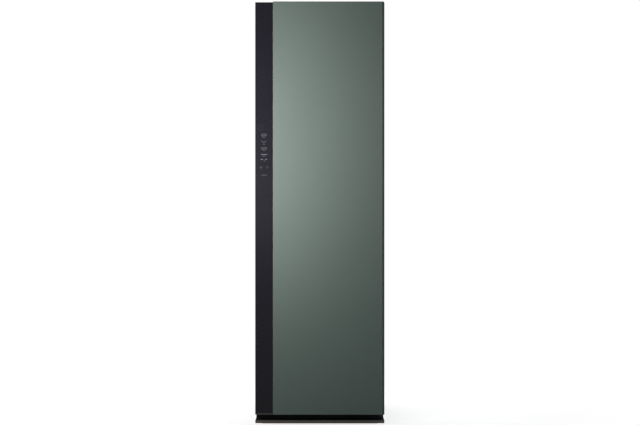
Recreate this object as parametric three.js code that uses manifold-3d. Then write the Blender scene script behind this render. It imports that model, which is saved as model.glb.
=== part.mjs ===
// Clothes care steam cabinet: a full-height door over a warm, steamed hanging space, with a shaking
// hanger rail, a trouser press on the door, two water tanks and a heat pump in the foot.
// Millimetres, +Z up. The origin is on the floor under the middle of the cabinet, and the door faces -Y.

import * as THREE from "three";
import { mergeVertices } from "three/addons/utils/BufferGeometryUtils.js";
import Module from "manifold-3d";

const wasm = await Module();
wasm.setup();

// Whole cabinet
const WIDTH = 600;
const HEIGHT = 1960;
const DEPTH = 596;
const SEAT = 0.3; // gap between two pieces that seat on each other
const OVERRUN = 4; // how far a cut runs past the piece it cuts
const CUT_MARGIN = 0.4; // how far joined shapes reach into each other
const PIPE_SIDES = 8; // flat faces around a pipe, and around small to large rounds
const SMALL_SIDES = 12;
const MIDDLE_SIDES = 16;
const LARGE_SIDES = 20;
const FULL_SIDES = 24;
const SMOOTH_SIDES = 28;
const THIN_PIPE_SIDES = 6;
const PIPE_STEPS = 18; // rings along the steam pipe
const LONG_PIPE_STEPS = 28; // and along the refrigerant's

// Steel and mouldings
const SHEET = 1.2;
const MOULD = 2.5;
const FLANGE_LIP = 12;

// Carcass
const CABINET_INSET = 2; // cabinet behind the door, each side
const TOP_STEP = 19; // the door stands this much over the cabinet's top
const WALL = 43; // outer face to inner face of a side wall
const BACK_WALL = 58;
const PLINTH_HEIGHT = 14.3;
const PLINTH_SETBACK = 5;
const PLINTH_DEPTH = 80;
const PLINTH_WALL = 4;
const PLINTH_BAYS = 4;
const PLINTH_END_LIFT = 1.3; // the two ends stand off the floor
const PLINTH_END_LENGTH = 34;
const SILL_HEIGHT = 96;
const CHANNEL_RETURN = 26;
const FLOOR_HEIGHT = 430; // floor of the hanging space
const FLOOR_THICKNESS = 3;
const FLOOR_RISE = 14; // it slopes, so that water runs to the front
const FLOOR_FLAT = 160;
const CEILING_DROP = 91; // top of the cabinet to the ceiling of the hanging space

// Door
const DOOR_DEPTH = 52;
const SEAL_GAP = 12; // door to cabinet, filled by the gasket
const DOOR_LIFT = 41;
const DOOR_TOP_GAP = 1.5; // door casing to the top hinge arm
const GLASS = 4;
const GLASS_GROUND = 1.2; // ground edge of the glass
const GLASS_CORNER = 5;
const STRIP_WIDTH = 82;
const STRIP_STEP = 3.2; // the casing behind the strip ends this much below the glass
const STRIP_INSET_TOP = 6.2;
const STRIP_INSET_BOTTOM = 5.5;
const STRIP_SETBACK = 2;
const STRIP_THICKNESS = 5;
const STRIP_GROUND = 0.6;
const EDGE_BEAD = 8; // dark edge of the casing, right of the glass
const CASING_CORNER = 9;
const LIP_DEPTH = 8; // casing behind the glass where it stands over the hinge
const PULL_LENGTH = 420;
const PULL_HEIGHT = 1080; // middle of the finger pull
const PULL_DEPTH = 18;
const PULL_OPENING = 22;
const PULL_SETBACK = 12; // door back to the pull
const DOOR_LINER = 3;
const LINER_SETBACK = 7; // liner edge from the door's edge
const PLATEAU_HEIGHT = 28; // raised middle of the door liner
const PLATEAU_CLEAR = 16; // to the mouth of the hanging space all round
const PLATEAU_SLOPE = 8;
const GASKET_EDGE = 21; // gasket's outer edge from the door's side
const GASKET_WIDTH = 18;
const GASKET_TOP_EDGE = 52;
const GASKET_BOTTOM_EDGE = 24;
const GASKET_ROOT = 8;

// Door hinges
const HINGE_INSET = 19; // axis from the door's side
const HINGE_DEPTH = 30; // axis from the door's face
const PIN_RADIUS = 5;
const PIN_LENGTH = 22;
const PIN_CLEARANCE = 0.4;
const ARM_THICKNESS = 5;
const ARM_HALF_WIDTH = 8;
const ARM_TIP_RADIUS = 10;
const TOP_ARM_PLATE_WIDTH = 44;
const TOP_ARM_PLATE_LENGTH = 70;
const FOOT_PLATE_WIDTH = 34;
const FOOT_PLATE_DROP = 8;
const FOOT_PLATE_TOP = 60;
const FOOT_PLATE_THICKNESS = 3;
const FOOT_ARM_DROP = 9; // door underside to the lower arm
const HINGE_COVER_WALL = 2;
const HINGE_COVER_HEIGHT = 13;
const SCREW_RADIUS = 2.5;

// Hanger rail and its drive
const RAIL_DROP = 36; // ceiling to the top of the rail
const RAIL_HEIGHT = 18;
const RAIL_DEPTH = 26;
const RAIL_CORNER = 6;
const RAIL_END_GAP = 26; // rail to the side walls at rest
const HANGER_PLACES = 5;
const NOTCH_WIDTH = 34;
const NOTCH_DEPTH = 7;
const SHAKE = 15; // travel each way
const STEM_HALF_WIDTH = 30;
const STEM_HALF_DEPTH = 8;
const CARRIAGE_HALF_WIDTH = 46;
const CARRIAGE_HALF_DEPTH = 30;
const CARRIAGE_HEIGHT = 8;
const YOKE_DEPTH = 5;
const SLIDE_CLEARANCE = 1;
const DRIVE_PLATE = 2.5;
const DRIVE_PLATE_DEPTH = 132;
const DRIVE_PLATE_EDGE = 20; // plate beyond the motor and the carriage
const RUNNER_WIDTH = 8;
const RUNNER_HEIGHT = 3;
const CRANK_PIN_RADIUS = 4;
const CRANK_PIN_HEIGHT = 6;
const CRANK_DISC_RADIUS = 22;
const CRANK_DISC_HEIGHT = 5;
const CRANK_SHAFT_RADIUS = 5;
const CRANK_PULLEY_RADIUS = 38;
const MOTOR_PULLEY_RADIUS = 12;
const PULLEY_HEIGHT = 9;
const PULLEY_FLANGE = 2;
const BELT_THICKNESS = 2;
const BELT_HEIGHT = 5;
const BELT_CLEARANCE = 0.3;
const BELT_CENTRES = 105;
const MOTOR_RADIUS = 27;
const MOTOR_SHAFT_RADIUS = 3;
const BRIDGE_HALF_WIDTH = 16;
const BRIDGE_THICKNESS = 3;
const BRIDGE_LEG = 5;
const LENS_WIDTH = 150;
const LENS_DEPTH = 26;
const LENS_THICKNESS = 4;
const LENS_SETBACK = 34;

// Shelf
const SHELF_HEIGHT = 600;
const SHELF_THICKNESS = 4;
const SHELF_RIM = 12;
const SHELF_FRONT_GAP = 84; // mouth of the cabinet to the shelf
const SHELF_BACK_GAP = 16;
const SHELF_SLOTS = 9;
const SHELF_SLOT_WIDTH = 14;
const SHELF_SIDE_CLEARANCE = 2;
const LEDGE_WIDTH = 9;
const LEDGE_HEIGHT = 12;
const RIB_COUNT = 9;
const RIB_WIDTH = 10;
const RIB_PROUD = 2;
const RIB_MARGIN = 60;

// Tanks
const BAY_SETBACK = 5;
const BAY_WALL = 2;
const BAY_POST = 44; // fascia between the two tanks
const TANK_SIDE_GAP = 33; // side of the hanging space to a tank
const TANK_HEIGHT = 232;
const TANK_DEPTH = 96;
const TANK_WALL = 2.5;
const TANK_CORNER = 10;
const TANK_PLAY = 1; // tank to its bay at the sides
const TANK_LIFT = 22; // sill to the tank's underside
const TANK_LID = 10;
const GRIP_WIDTH = 96;
const GRIP_HEIGHT = 36;
const GRIP_DEPTH = 24;
const GRIP_DROP = 20;
const GRIP_LIP = 6; // front wall that hangs in front of the fingertips
const GRIP_HOOK = 8;
const LID_PLUG = 4;
const SPOUT_LENGTH = 34;
const CAP_RADIUS = 19;
const CAP_HEIGHT = 8;

// Filters in the floor
const FILTER_WIDTH = 190;
const FILTER_DEPTH = 24;
const FILTER_HEIGHT = 112;
const FILTER_SETBACK = 138; // mouth of the cabinet to the filter
const FILTER_PLAY = 1;
const FILTER_BAR = 4;
const FILTER_HEAD = 5;
const FILTER_HEAD_RIM = 4;
const FILTER_OFFSET = -70; // its middle from the cabinet's middle
const AROMA_WIDTH = 66;
const AROMA_HEIGHT = 58;
const AROMA_OFFSET = 120;
const TAB_WIDTH = 26;
const TAB_HEIGHT = 9;
const TAB_THICKNESS = 3;
const GRILLE_SLOTS = 13;
const GRILLE_SLOT_WIDTH = 7;
const GRILLE_BAR = 7;
const GRILLE_LENGTH = 66;
const GRILLE_BACK_GAP = 115;
const NOZZLE_RADIUS = 21;
const NOZZLE_HEIGHT = 20;
const NOZZLE_SIDE_GAP = 60;
const NOZZLE_BORE = 7;
const NOZZLE_WALL = 3;

// Foot of the cabinet
const PAN_THICKNESS = 1.6;
const PAN_RIM = 26;
const BEAD_WIDTH = 16;
const BEAD_HEIGHT = 4;
const BEAD_SPACING = 130;
const FOOT_SIDE_GAP = 46; // feet from the side of the cabinet
const FOOT_SETBACK = 60; // mouth of the cabinet to the front feet
const REAR_FOOT_SETBACK = 50;
const FOOT_RADIUS = 19;
const FOOT_PAD = 7;
const FOOT_STEM_RADIUS = 6;
const FOOT_STEM = 40;
const FOOT_LIFT = 0.6; // screwed up clear of the floor
const FOOT_BOSS_RADIUS = 12;
const FOOT_BOSS = 16;
const FOOT_PLAY = 0.4;

// Heat pump and steam
const COMPRESSOR_RADIUS = 62;
const COMPRESSOR_HEIGHT = 176;
const COMPRESSOR_SIDE_GAP = 75;
const COMPRESSOR_BACK_GAP = 96; // back of the cabinet to its middle
const COMPRESSOR_LIFT = 14;
const COMPRESSOR_FOOT_RADIUS = 11;
const COMPRESSOR_FOOT_REACH = 74;
const COMPRESSOR_DOME = 26;
const PORT_HEIGHT = 14;
const DUCT_WALL = 2.5;
const DUCT_WIDTH = 214;
const DUCT_OFFSET = -8;
const DUCT_BOTTOM = 74;
const DUCT_TOP = 236;
const DUCT_FOOT = 12;
const INTAKE_DEPTH = 44;
const FIN_COUNT = 10;
const FIN_THICKNESS = 2;
const COIL_DEPTH = 46;
const COIL_GAP = 12; // duct wall to a coil, and coil to coil
const TUBE_RADIUS = 4.5;
const TUBE_ROWS = 2;
const FAN_RADIUS = 62;
const FAN_HUB_RADIUS = 14;
const FAN_BLADES = 12;
const FAN_BLADE_TURN = Math.PI / 7;
const FAN_BLADE_THICKNESS = 2.4;
const FAN_WIDTH = 58;
const FAN_DISC = 3;
const FAN_CLEARANCE = 7;
const FAN_SHAFT_RADIUS = 4;
const FAN_INLET_RADIUS = 44;
const FAN_CHIMNEY = 78;
const SCROLL_WALL = 2.5;
const SCROLL_GROWTH = 26;
const FAN_MOTOR_RADIUS = 40;
const FAN_MOTOR_LENGTH = 44;
const STEAM_WIDTH = 128;
const STEAM_DEPTH = 104;
const STEAM_HEIGHT = 118;
const STEAM_CORNER = 12;
const STEAM_BACK_GAP = 30;
const STEAM_SIDE_GAP = 16;
const STEAM_LIFT = 12;
const STEAM_RIB = 4;
const HOSE_RADIUS = 8;
const HOSE_TAIL = 12;
const PUMP_RADIUS = 20;
const PUMP_LENGTH = 58;
const PUMP_PORT_RADIUS = 5;
const PUMP_PORT = 14;
const PUMP_CRADLE = 6;
const PUMP_SIDE_GAP = 59;
const PUMP_SETBACK = 158; // mouth of the cabinet to the pumps
const BOX_WIDTH = 150;
const BOX_DEPTH = 44;
const BOX_HEIGHT = 96;
const BOX_FIN = 4;
const BOX_LIFT = 250;
const PIPE_RADIUS = 4;
const LOUVRE_COUNT = 9;
const LOUVRE_LENGTH = 170;
const LOUVRE_HEIGHT = 7;
const LOUVRE_PITCH = 18;
const LOUVRE_BOTTOM = 110;
const LOUVRE_OFFSET = 145;
const BACK_BEAD_COUNT = 3;
const BACK_BEAD_WIDTH = 26;
const BACK_BEAD_DEPTH = 5;
const BACK_BEAD_SPACING = 170;
const BACK_BEAD_MARGIN = 90;
const BACK_BEAD_SLOPE = 4;
const GLAND_RADIUS = 9;
const GLAND_FLANGE = 14;
const GLAND_SIDE_GAP = 30;
const GLAND_HEIGHT = 400;

// Trouser press on the door
const PRESS_LEFT_MARGIN = 92; // edge of the raised field to the press
const PRESS_RIGHT_MARGIN = 56;
const PRESS_LOWER_MARGIN = 214;
const PRESS_UPPER_MARGIN = 334;
const PRESS_BASE = 12;
const PRESS_PLATE = 15;
const PRESS_GAP = 5; // room for the cloth
const PRESS_CORNER = 14;
const PRESS_FRAME = 16;
const PRESS_RECESS = 6;
const PRESS_BARREL_RADIUS = 6;
const PRESS_PIN_RADIUS = 2.5;
const PRESS_KNUCKLES = 3;
const KNUCKLE_LENGTH = 46;
const KNUCKLE_MARGIN = 60;
const LATCH_WIDTH = 26;
const LATCH_HEIGHT = 70;
const LATCH_DEPTH = 9;
const LATCH_TRAVEL = 7;
const LATCH_HOOK = 4;
const CLIP_WIDTH = 240;
const CLIP_HEIGHT = 26;
const CLIP_DEPTH = 20;
const CLIP_JAW = 36;
const CLIP_GAP = 46; // press to the clip bar

// Places worked out from those sizes
const front = -DEPTH / 2;
const back = DEPTH / 2;
const doorHalf = WIDTH / 2;
const doorBack = front + DOOR_DEPTH;
const mouth = doorBack + SEAL_GAP;
const cabinetHalf = doorHalf - CABINET_INSET;
const cabinetTop = HEIGHT - TOP_STEP;
const roomHalf = cabinetHalf - WALL;
const roomBack = back - BACK_WALL;
const ceiling = cabinetTop - CEILING_DROP;
const flangeInner = roomHalf + MOULD + SEAT;
const panBottom = PLINTH_HEIGHT + SEAT;
const panTop = panBottom + PAN_THICKNESS;
const hingeX = doorHalf - HINGE_INSET;
const hingeY = front + HINGE_DEPTH;
const casingTop = cabinetTop - DOOR_TOP_GAP;
const innerHalf = cabinetHalf - SHEET - SEAT;

// Finishes
const finish = (color, roughness, metalness = 0) =>
  new THREE.MeshStandardMaterial({ color, roughness, metalness });
const finishes = {
  glass: finish(0x66766f, 0.25),
  blackGlass: finish(0x1c1c20, 0.15),
  black: finish(0x17181a, 0.45),
  sheet: finish(0x2a2c2e, 0.4, 0.3),
  steel: finish(0xa9adb0, 0.35, 0.9),
  liner: finish(0x3a3d40, 0.55),
  rail: finish(0x9d948a, 0.3, 0.8),
  plinth: finish(0x3b3736, 0.5),
  rubber: finish(0x202122, 0.8),
  tank: finish(0x4a5054, 0.25),
  lens: finish(0xf2f2ea, 0.4),
  aluminium: finish(0xc4c7c9, 0.4, 0.9),
  copper: finish(0xb87349, 0.35, 0.9),
  pad: finish(0x57595b, 0.85),
};

// Solids from three.js geometries
function solid(geometry) {
  const bare = geometry.index ? geometry.toNonIndexed() : geometry.clone();
  bare.deleteAttribute("normal");
  bare.deleteAttribute("uv");
  const merged = mergeVertices(bare, 1e-4);
  return new wasm.Manifold(
    new wasm.Mesh({
      numProp: 3,
      vertProperties: merged.attributes.position.array,
      triVerts: new Uint32Array(merged.index.array),
    }),
  );
}

const join = (...parts) => parts.flat().reduce((whole, part) => whole.add(part));
const cut = (whole, ...cutters) => cutters.flat().reduce((left, cutter) => left.subtract(cutter), whole);

function block([x0, x1], [y0, y1], [z0, z1]) {
  const geometry = new THREE.BoxGeometry(x1 - x0, y1 - y0, z1 - z0);
  return solid(geometry.translate((x0 + x1) / 2, (y0 + y1) / 2, (z0 + z1) / 2));
}

// A span of the given width about a middle.
const about = (middle, width) => [middle - width / 2, middle + width / 2];

// An outline carried along an axis. Its points are (x, y) along Z, (y, z) along X and (x, z) along Y.
function carried(outline, axis, from, to) {
  const options = { depth: to - from, bevelEnabled: false, curveSegments: 3 };
  const geometry = new THREE.ExtrudeGeometry(outline, options);
  if (axis === "z") geometry.translate(0, 0, from);
  if (axis === "x") {
    geometry.rotateY(Math.PI / 2).rotateX(Math.PI / 2).translate(from, 0, 0);
  }
  if (axis === "y") geometry.rotateX(Math.PI / 2).translate(0, to, 0);
  return solid(geometry);
}

const outlineOf = (points) => new THREE.Shape(points.map(([u, v]) => new THREE.Vector2(u, v)));

function roundedOutline([u0, u1], [v0, v1], radius) {
  const shape = new THREE.Shape();
  shape.absarc(u1 - radius, v1 - radius, radius, 0, Math.PI / 2);
  shape.absarc(u0 + radius, v1 - radius, radius, Math.PI / 2, Math.PI);
  shape.absarc(u0 + radius, v0 + radius, radius, Math.PI, 1.5 * Math.PI);
  shape.absarc(u1 - radius, v0 + radius, radius, 1.5 * Math.PI, 2 * Math.PI);
  return shape;
}

// A round bar along an axis through the point [x, y, z], between two places on that axis.
function round(axis, [x, y, z], radius, from, to, sides = FULL_SIDES) {
  const geometry = new THREE.CylinderGeometry(radius, radius, to - from, sides);
  const middle = (from + to) / 2;
  if (axis === "x") geometry.rotateZ(Math.PI / 2).translate(middle, y, z);
  if (axis === "y") geometry.translate(x, middle, z);
  if (axis === "z") geometry.rotateX(Math.PI / 2).translate(x, y, middle);
  return solid(geometry);
}

// A profile of [radius, height] points turned about the vertical through (x, y).
function turned(points, [x, y], sides = FULL_SIDES) {
  const profile = points.map(([radius, height]) => new THREE.Vector2(radius, height));
  return solid(new THREE.LatheGeometry(profile, sides).rotateX(Math.PI / 2).translate(x, y, 0));
}

// A round tube along a smooth route.
function piped(points, radius, steps, sides = PIPE_SIDES) {
  const route = new THREE.CatmullRomCurve3(points.map((point) => new THREE.Vector3(...point)));
  const ring = new THREE.Shape();
  for (let side = 0; side < sides; side += 1) {
    const turn = (2 * Math.PI * side) / sides;
    const [u, v] = [radius * Math.cos(turn), radius * Math.sin(turn)];
    if (side === 0) ring.moveTo(u, v);
    else ring.lineTo(u, v);
  }
  return solid(new THREE.ExtrudeGeometry(ring, { steps, extrudePath: route, bevelEnabled: false }));
}

const evenly = (count, from, to) =>
  Array.from(
    { length: count },
    (_, i) => (count === 1 ? (from + to) / 2 : from + ((to - from) * i) / (count - 1)),
  );

// A finished piece. Its geometry is written about its own place, which the mesh then stands at.
function piece(name, manifold, material, [x, y, z] = [0, 0, 0]) {
  const { numProp, vertProperties, triVerts } = manifold.getMesh();
  const position = new Float32Array((vertProperties.length / numProp) * 3);
  for (let i = 0; i < position.length / 3; i += 1) {
    position.set(vertProperties.subarray(i * numProp, i * numProp + 3), 3 * i);
  }
  const geometry = new THREE.BufferGeometry();
  geometry.setAttribute("position", new THREE.BufferAttribute(position, 3));
  geometry.setIndex(new THREE.BufferAttribute(new Uint32Array(triVerts), 1));
  geometry.translate(-x, -y, -z);
  geometry.computeVertexNormals();
  const mesh = new THREE.Mesh(geometry, material.clone());
  mesh.name = name;
  mesh.position.set(x, y, z);
  return mesh;
}

// Carcass: sheet steel wrapped round a moulded liner
const panelBack = back - SHEET - SEAT; // rear edge of the side panels
const panFront = mouth + FLANGE_LIP + SEAT;
const panBack = panelBack - SHEET - SEAT;
const coverBottom = cabinetTop - MOULD;
const glandX = -roomHalf + GLAND_SIDE_GAP;
const feetX = cabinetHalf - FOOT_SIDE_GAP;
const frontFeetY = mouth + FOOT_SETBACK;
const rearFeetY = back - REAR_FOOT_SETBACK;

function sidePanel(side) {
  // Plan of the sheet: main face, front flange with its lip, and rear flange
  const outer = cabinetHalf;
  const plan = outlineOf(
    [
      [outer, mouth],
      [outer, panelBack],
      [flangeInner, panelBack],
      [flangeInner, panelBack - SHEET],
      [outer - SHEET, panelBack - SHEET],
      [outer - SHEET, mouth + SHEET],
      [flangeInner + SHEET, mouth + SHEET],
      [flangeInner + SHEET, mouth + FLANGE_LIP],
      [flangeInner, mouth + FLANGE_LIP],
      [flangeInner, mouth],
    ].map(([x, y]) => [side * x, y]),
  );
  return carried(plan, "z", panBottom, coverBottom - SEAT);
}

function basePan() {
  const x = [-innerHalf, innerHalf];
  const tray = cut(
    block(x, [panFront, panBack], [panBottom, panBottom + PAN_RIM]),
    block(
      [x[0] + PAN_THICKNESS, x[1] - PAN_THICKNESS],
      [panFront + PAN_THICKNESS, panBack - PAN_THICKNESS],
      [panTop, panBottom + PAN_RIM + OVERRUN],
    ),
  );
  const beads = [-BEAD_SPACING / 2, BEAD_SPACING / 2].map((at) =>
    block(
      about(at, BEAD_WIDTH),
      [panFront + BEAD_WIDTH, panBack - BEAD_WIDTH],
      [panTop - CUT_MARGIN, panTop + BEAD_HEIGHT],
    ),
  );
  const bosses = [-feetX, feetX].map((at) =>
    round("z", [at, frontFeetY], FOOT_BOSS_RADIUS, panTop - CUT_MARGIN, panTop + FOOT_BOSS),
  );
  const bores = [-feetX, feetX].map((at) =>
    round(
      "z",
      [at, frontFeetY],
      FOOT_STEM_RADIUS + FOOT_PLAY,
      panBottom - OVERRUN,
      panTop + FOOT_BOSS + OVERRUN,
    ),
  );
  return cut(join(tray, beads, bosses), bores);
}

function topCover() {
  const rimFront = mouth + CHANNEL_RETURN + SEAT;
  const rim = cut(
    block(
      [-innerHalf, innerHalf],
      [rimFront, panBack],
      [coverBottom - FLANGE_LIP, coverBottom + CUT_MARGIN],
    ),
    block(
      [-innerHalf + MOULD, innerHalf - MOULD],
      [rimFront + MOULD, panBack - MOULD],
      [coverBottom - FLANGE_LIP - OVERRUN, coverBottom + CUT_MARGIN + OVERRUN],
    ),
  );
  return join(block([-cabinetHalf, cabinetHalf], [mouth, back], [coverBottom, cabinetTop]), rim);
}

// A straight bead whose sides slope from the plane y1 in to the plane y0, carried on past y1
function bead(at, half, [y0, y1], past, z) {
  const plan = [
    [at - half, y1 + past],
    [at - half, y1],
    [at - half + BACK_BEAD_SLOPE, y0],
    [at + half - BACK_BEAD_SLOPE, y0],
    [at + half, y1],
    [at + half, y1 + past],
  ];
  return carried(outlineOf(plan), "z", ...z);
}

function backPanel() {
  const face = block([-cabinetHalf, cabinetHalf], [back - SHEET, back], [panBottom, coverBottom - SEAT]);
  const half = BACK_BEAD_WIDTH / 2;
  const beadZ = [FLOOR_HEIGHT + BACK_BEAD_MARGIN, ceiling - BACK_BEAD_MARGIN];
  const beadPlaces = evenly(BACK_BEAD_COUNT, -BACK_BEAD_SPACING, BACK_BEAD_SPACING);
  const bottom = back - BACK_BEAD_DEPTH;
  // Each bead is pressed in from outside and stands out on the inner side by the same depth
  const beads = beadPlaces.map((at) =>
    bead(at, half, [bottom - SHEET, back - SHEET], CUT_MARGIN, beadZ),
  );
  const troughs = beadPlaces.map((at) =>
    bead(at, half - SHEET, [bottom, back], OVERRUN, grow(beadZ, -SHEET)),
  );
  const louvres = [-LOUVRE_OFFSET, LOUVRE_OFFSET].flatMap((at) =>
    Array.from({ length: LOUVRE_COUNT }, (_, i) => {
      const bottom = LOUVRE_BOTTOM + i * LOUVRE_PITCH;
      return block(
        about(at, LOUVRE_LENGTH),
        [back - SHEET - OVERRUN, back + OVERRUN],
        [bottom, bottom + LOUVRE_HEIGHT],
      );
    }),
  );
  const glandHole = round(
    "y",
    [glandX, 0, GLAND_HEIGHT],
    GLAND_RADIUS + SEAT,
    back - SHEET - OVERRUN,
    back + OVERRUN,
    MIDDLE_SIDES,
  );
  return cut(join(face, beads), troughs, louvres, glandHole);
}

function cordGland() {
  // A grommet, its collar inside and out of the back panel, kept inside the cabinet's depth
  const hole = [glandX, 0, GLAND_HEIGHT];
  return join(
    round("y", hole, GLAND_RADIUS, back - SHEET - SEAT - CUT_MARGIN, back, MIDDLE_SIDES),
    round("y", hole, GLAND_FLANGE, back - SHEET - SEAT - MOULD, back - SHEET - SEAT, MIDDLE_SIDES),
  );
}

// A channel across the front: its face is flush with the side panels' flanges
function crossChannel([bottom, top], [lowerReturn, lowerHeight], upperReturn) {
  const x = [-flangeInner + SEAT, flangeInner - SEAT];
  return join(
    block(x, [mouth, mouth + SHEET], [bottom, top]),
    block(x, [mouth, mouth + lowerReturn], [lowerHeight, lowerHeight + SHEET]),
    block(x, [mouth, mouth + upperReturn], [top - SHEET, top]),
  );
}

const frontSill = () => crossChannel([panBottom, SILL_HEIGHT], [FLANGE_LIP, panBottom], CHANNEL_RETURN);
const frontHeader = () =>
  crossChannel(
    [ceiling, coverBottom - SEAT],
    [CHANNEL_RETURN, ceiling + MOULD + SEAT],
    CHANNEL_RETURN,
  );

function plinthBar() {
  const half = doorHalf - SEAT;
  const skid = half - PLINTH_END_LENGTH;
  const outline = outlineOf([
    [-half, PLINTH_END_LIFT],
    [-skid - PLINTH_END_LIFT, PLINTH_END_LIFT],
    [-skid, 0],
    [skid, 0],
    [skid + PLINTH_END_LIFT, PLINTH_END_LIFT],
    [half, PLINTH_END_LIFT],
    [half, PLINTH_HEIGHT],
    [-half, PLINTH_HEIGHT],
  ]);
  const y = [front + PLINTH_SETBACK, front + PLINTH_SETBACK + PLINTH_DEPTH];
  const bays = evenly(PLINTH_BAYS, -skid * 0.75, skid * 0.75).map((at) =>
    block(
      about(at, skid / 2 - PLINTH_WALL),
      [y[0] + PLINTH_WALL, y[1] - PLINTH_WALL],
      [-OVERRUN, PLINTH_HEIGHT - PLINTH_WALL],
    ),
  );
  return cut(carried(outline, "y", ...y), bays);
}

function frontFoot(x) {
  const stemTop = FOOT_LIFT + FOOT_PAD + FOOT_STEM;
  return turned(
    [
      [0, FOOT_LIFT],
      [FOOT_RADIUS, FOOT_LIFT],
      [FOOT_RADIUS, FOOT_LIFT + FOOT_PAD / 2],
      [FOOT_STEM_RADIUS + MOULD, FOOT_LIFT + FOOT_PAD],
      [FOOT_STEM_RADIUS, FOOT_LIFT + FOOT_PAD],
      [FOOT_STEM_RADIUS, stemTop],
      [0, stemTop],
    ],
    [x, frontFeetY],
    LARGE_SIDES,
  );
}

const rearFoot = (x) =>
  turned(
    [
      [0, 0],
      [FOOT_RADIUS + MOULD, 0],
      [FOOT_RADIUS + MOULD, FOOT_PAD],
      [FOOT_RADIUS - MOULD, PLINTH_HEIGHT],
      [0, PLINTH_HEIGHT],
    ],
    [x, rearFeetY],
  );

// Liner of the hanging space
const linerHalf = roomHalf + MOULD;
const roomDepth = roomBack - mouth;

function sideLiner(side) {
  const y = [mouth + SEAT, roomBack - SEAT];
  const across = (from, to) => [side * from, side * to].sort((a, b) => a - b);
  const wall = block(across(roomHalf, linerHalf), y, [SILL_HEIGHT + SEAT, ceiling - SEAT]);
  const ledgeTop = SHELF_HEIGHT - SEAT;
  const ledge = carried(
    outlineOf([
      [side * (roomHalf + CUT_MARGIN), ledgeTop],
      [side * (roomHalf - LEDGE_WIDTH), ledgeTop],
      [side * (roomHalf - LEDGE_WIDTH), ledgeTop - LEDGE_HEIGHT / 2],
      [side * (roomHalf + CUT_MARGIN), ledgeTop - LEDGE_HEIGHT],
    ]),
    "y",
    mouth + SHELF_FRONT_GAP,
    roomBack - SHELF_BACK_GAP,
  );
  const ribs = evenly(RIB_COUNT - 4, mouth + RIB_MARGIN, roomBack - RIB_MARGIN).map((at) =>
    block(
      across(roomHalf - RIB_PROUD, roomHalf + CUT_MARGIN),
      about(at, RIB_WIDTH),
      [SHELF_HEIGHT + RIB_MARGIN, ceiling - RIB_MARGIN],
    ),
  );
  return join(wall, ledge, ribs);
}

function backLiner() {
  const z = [FLOOR_HEIGHT - RIB_MARGIN, ceiling - SEAT];
  const wall = block([-linerHalf, linerHalf], [roomBack, roomBack + MOULD], z);
  const ribs = evenly(RIB_COUNT, -roomHalf + RIB_MARGIN / 2, roomHalf - RIB_MARGIN / 2).map((at) =>
    block(
      about(at, RIB_WIDTH),
      [roomBack - RIB_PROUD, roomBack + CUT_MARGIN],
      [FLOOR_HEIGHT + RIB_MARGIN, ceiling - RIB_MARGIN],
    ),
  );
  return join(wall, ribs);
}

// The hanger rail's stem comes down through the middle of the ceiling
const railY = mouth + roomDepth / 2;
const stemSlotX = STEM_HALF_WIDTH + SHAKE + SLIDE_CLEARANCE;
const stemSlotY = STEM_HALF_DEPTH + SLIDE_CLEARANCE;
const lensY = [mouth + LENS_SETBACK, mouth + LENS_SETBACK + LENS_DEPTH];

function ceilingLiner() {
  const z = [ceiling, ceiling + MOULD];
  const cutZ = [z[0] - OVERRUN, z[1] + OVERRUN];
  const plate = block([-linerHalf, linerHalf], [mouth + SHEET + SEAT, roomBack + MOULD], z);
  const stemSlot = block([-stemSlotX, stemSlotX], [railY - stemSlotY, railY + stemSlotY], cutZ);
  const lensHole = block(
    about(0, LENS_WIDTH + 2 * SEAT),
    [lensY[0] - SEAT, lensY[1] + SEAT],
    cutZ,
  );
  return cut(plate, stemSlot, lensHole);
}

function ceilingLens() {
  // A clear bar flush with the ceiling, with a flange that lies on top of it
  const body = block(about(0, LENS_WIDTH), lensY, [ceiling, ceiling + MOULD + SEAT + CUT_MARGIN]);
  const flangeZ = ceiling + MOULD + SEAT;
  const flange = block(
    about(0, LENS_WIDTH + 2 * LENS_THICKNESS),
    [lensY[0] - LENS_THICKNESS, lensY[1] + LENS_THICKNESS],
    [flangeZ, flangeZ + LENS_THICKNESS],
  );
  return join(body, flange);
}

// Floor of the hanging space, with the filters' sockets, the air grille and the steam nozzle's hole
const filterY = mouth + FILTER_SETBACK;
const grilleY = [roomBack - GRILLE_BACK_GAP - GRILLE_LENGTH, roomBack - GRILLE_BACK_GAP];
const floorSlope = FLOOR_RISE / (roomDepth - FLOOR_FLAT);
const floorAt = (y) => FLOOR_HEIGHT + Math.max(0, y - mouth - FLOOR_FLAT) * floorSlope;
const nozzleX = -roomHalf + NOZZLE_SIDE_GAP;
const nozzleY = (grilleY[0] + grilleY[1]) / 2;

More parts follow.
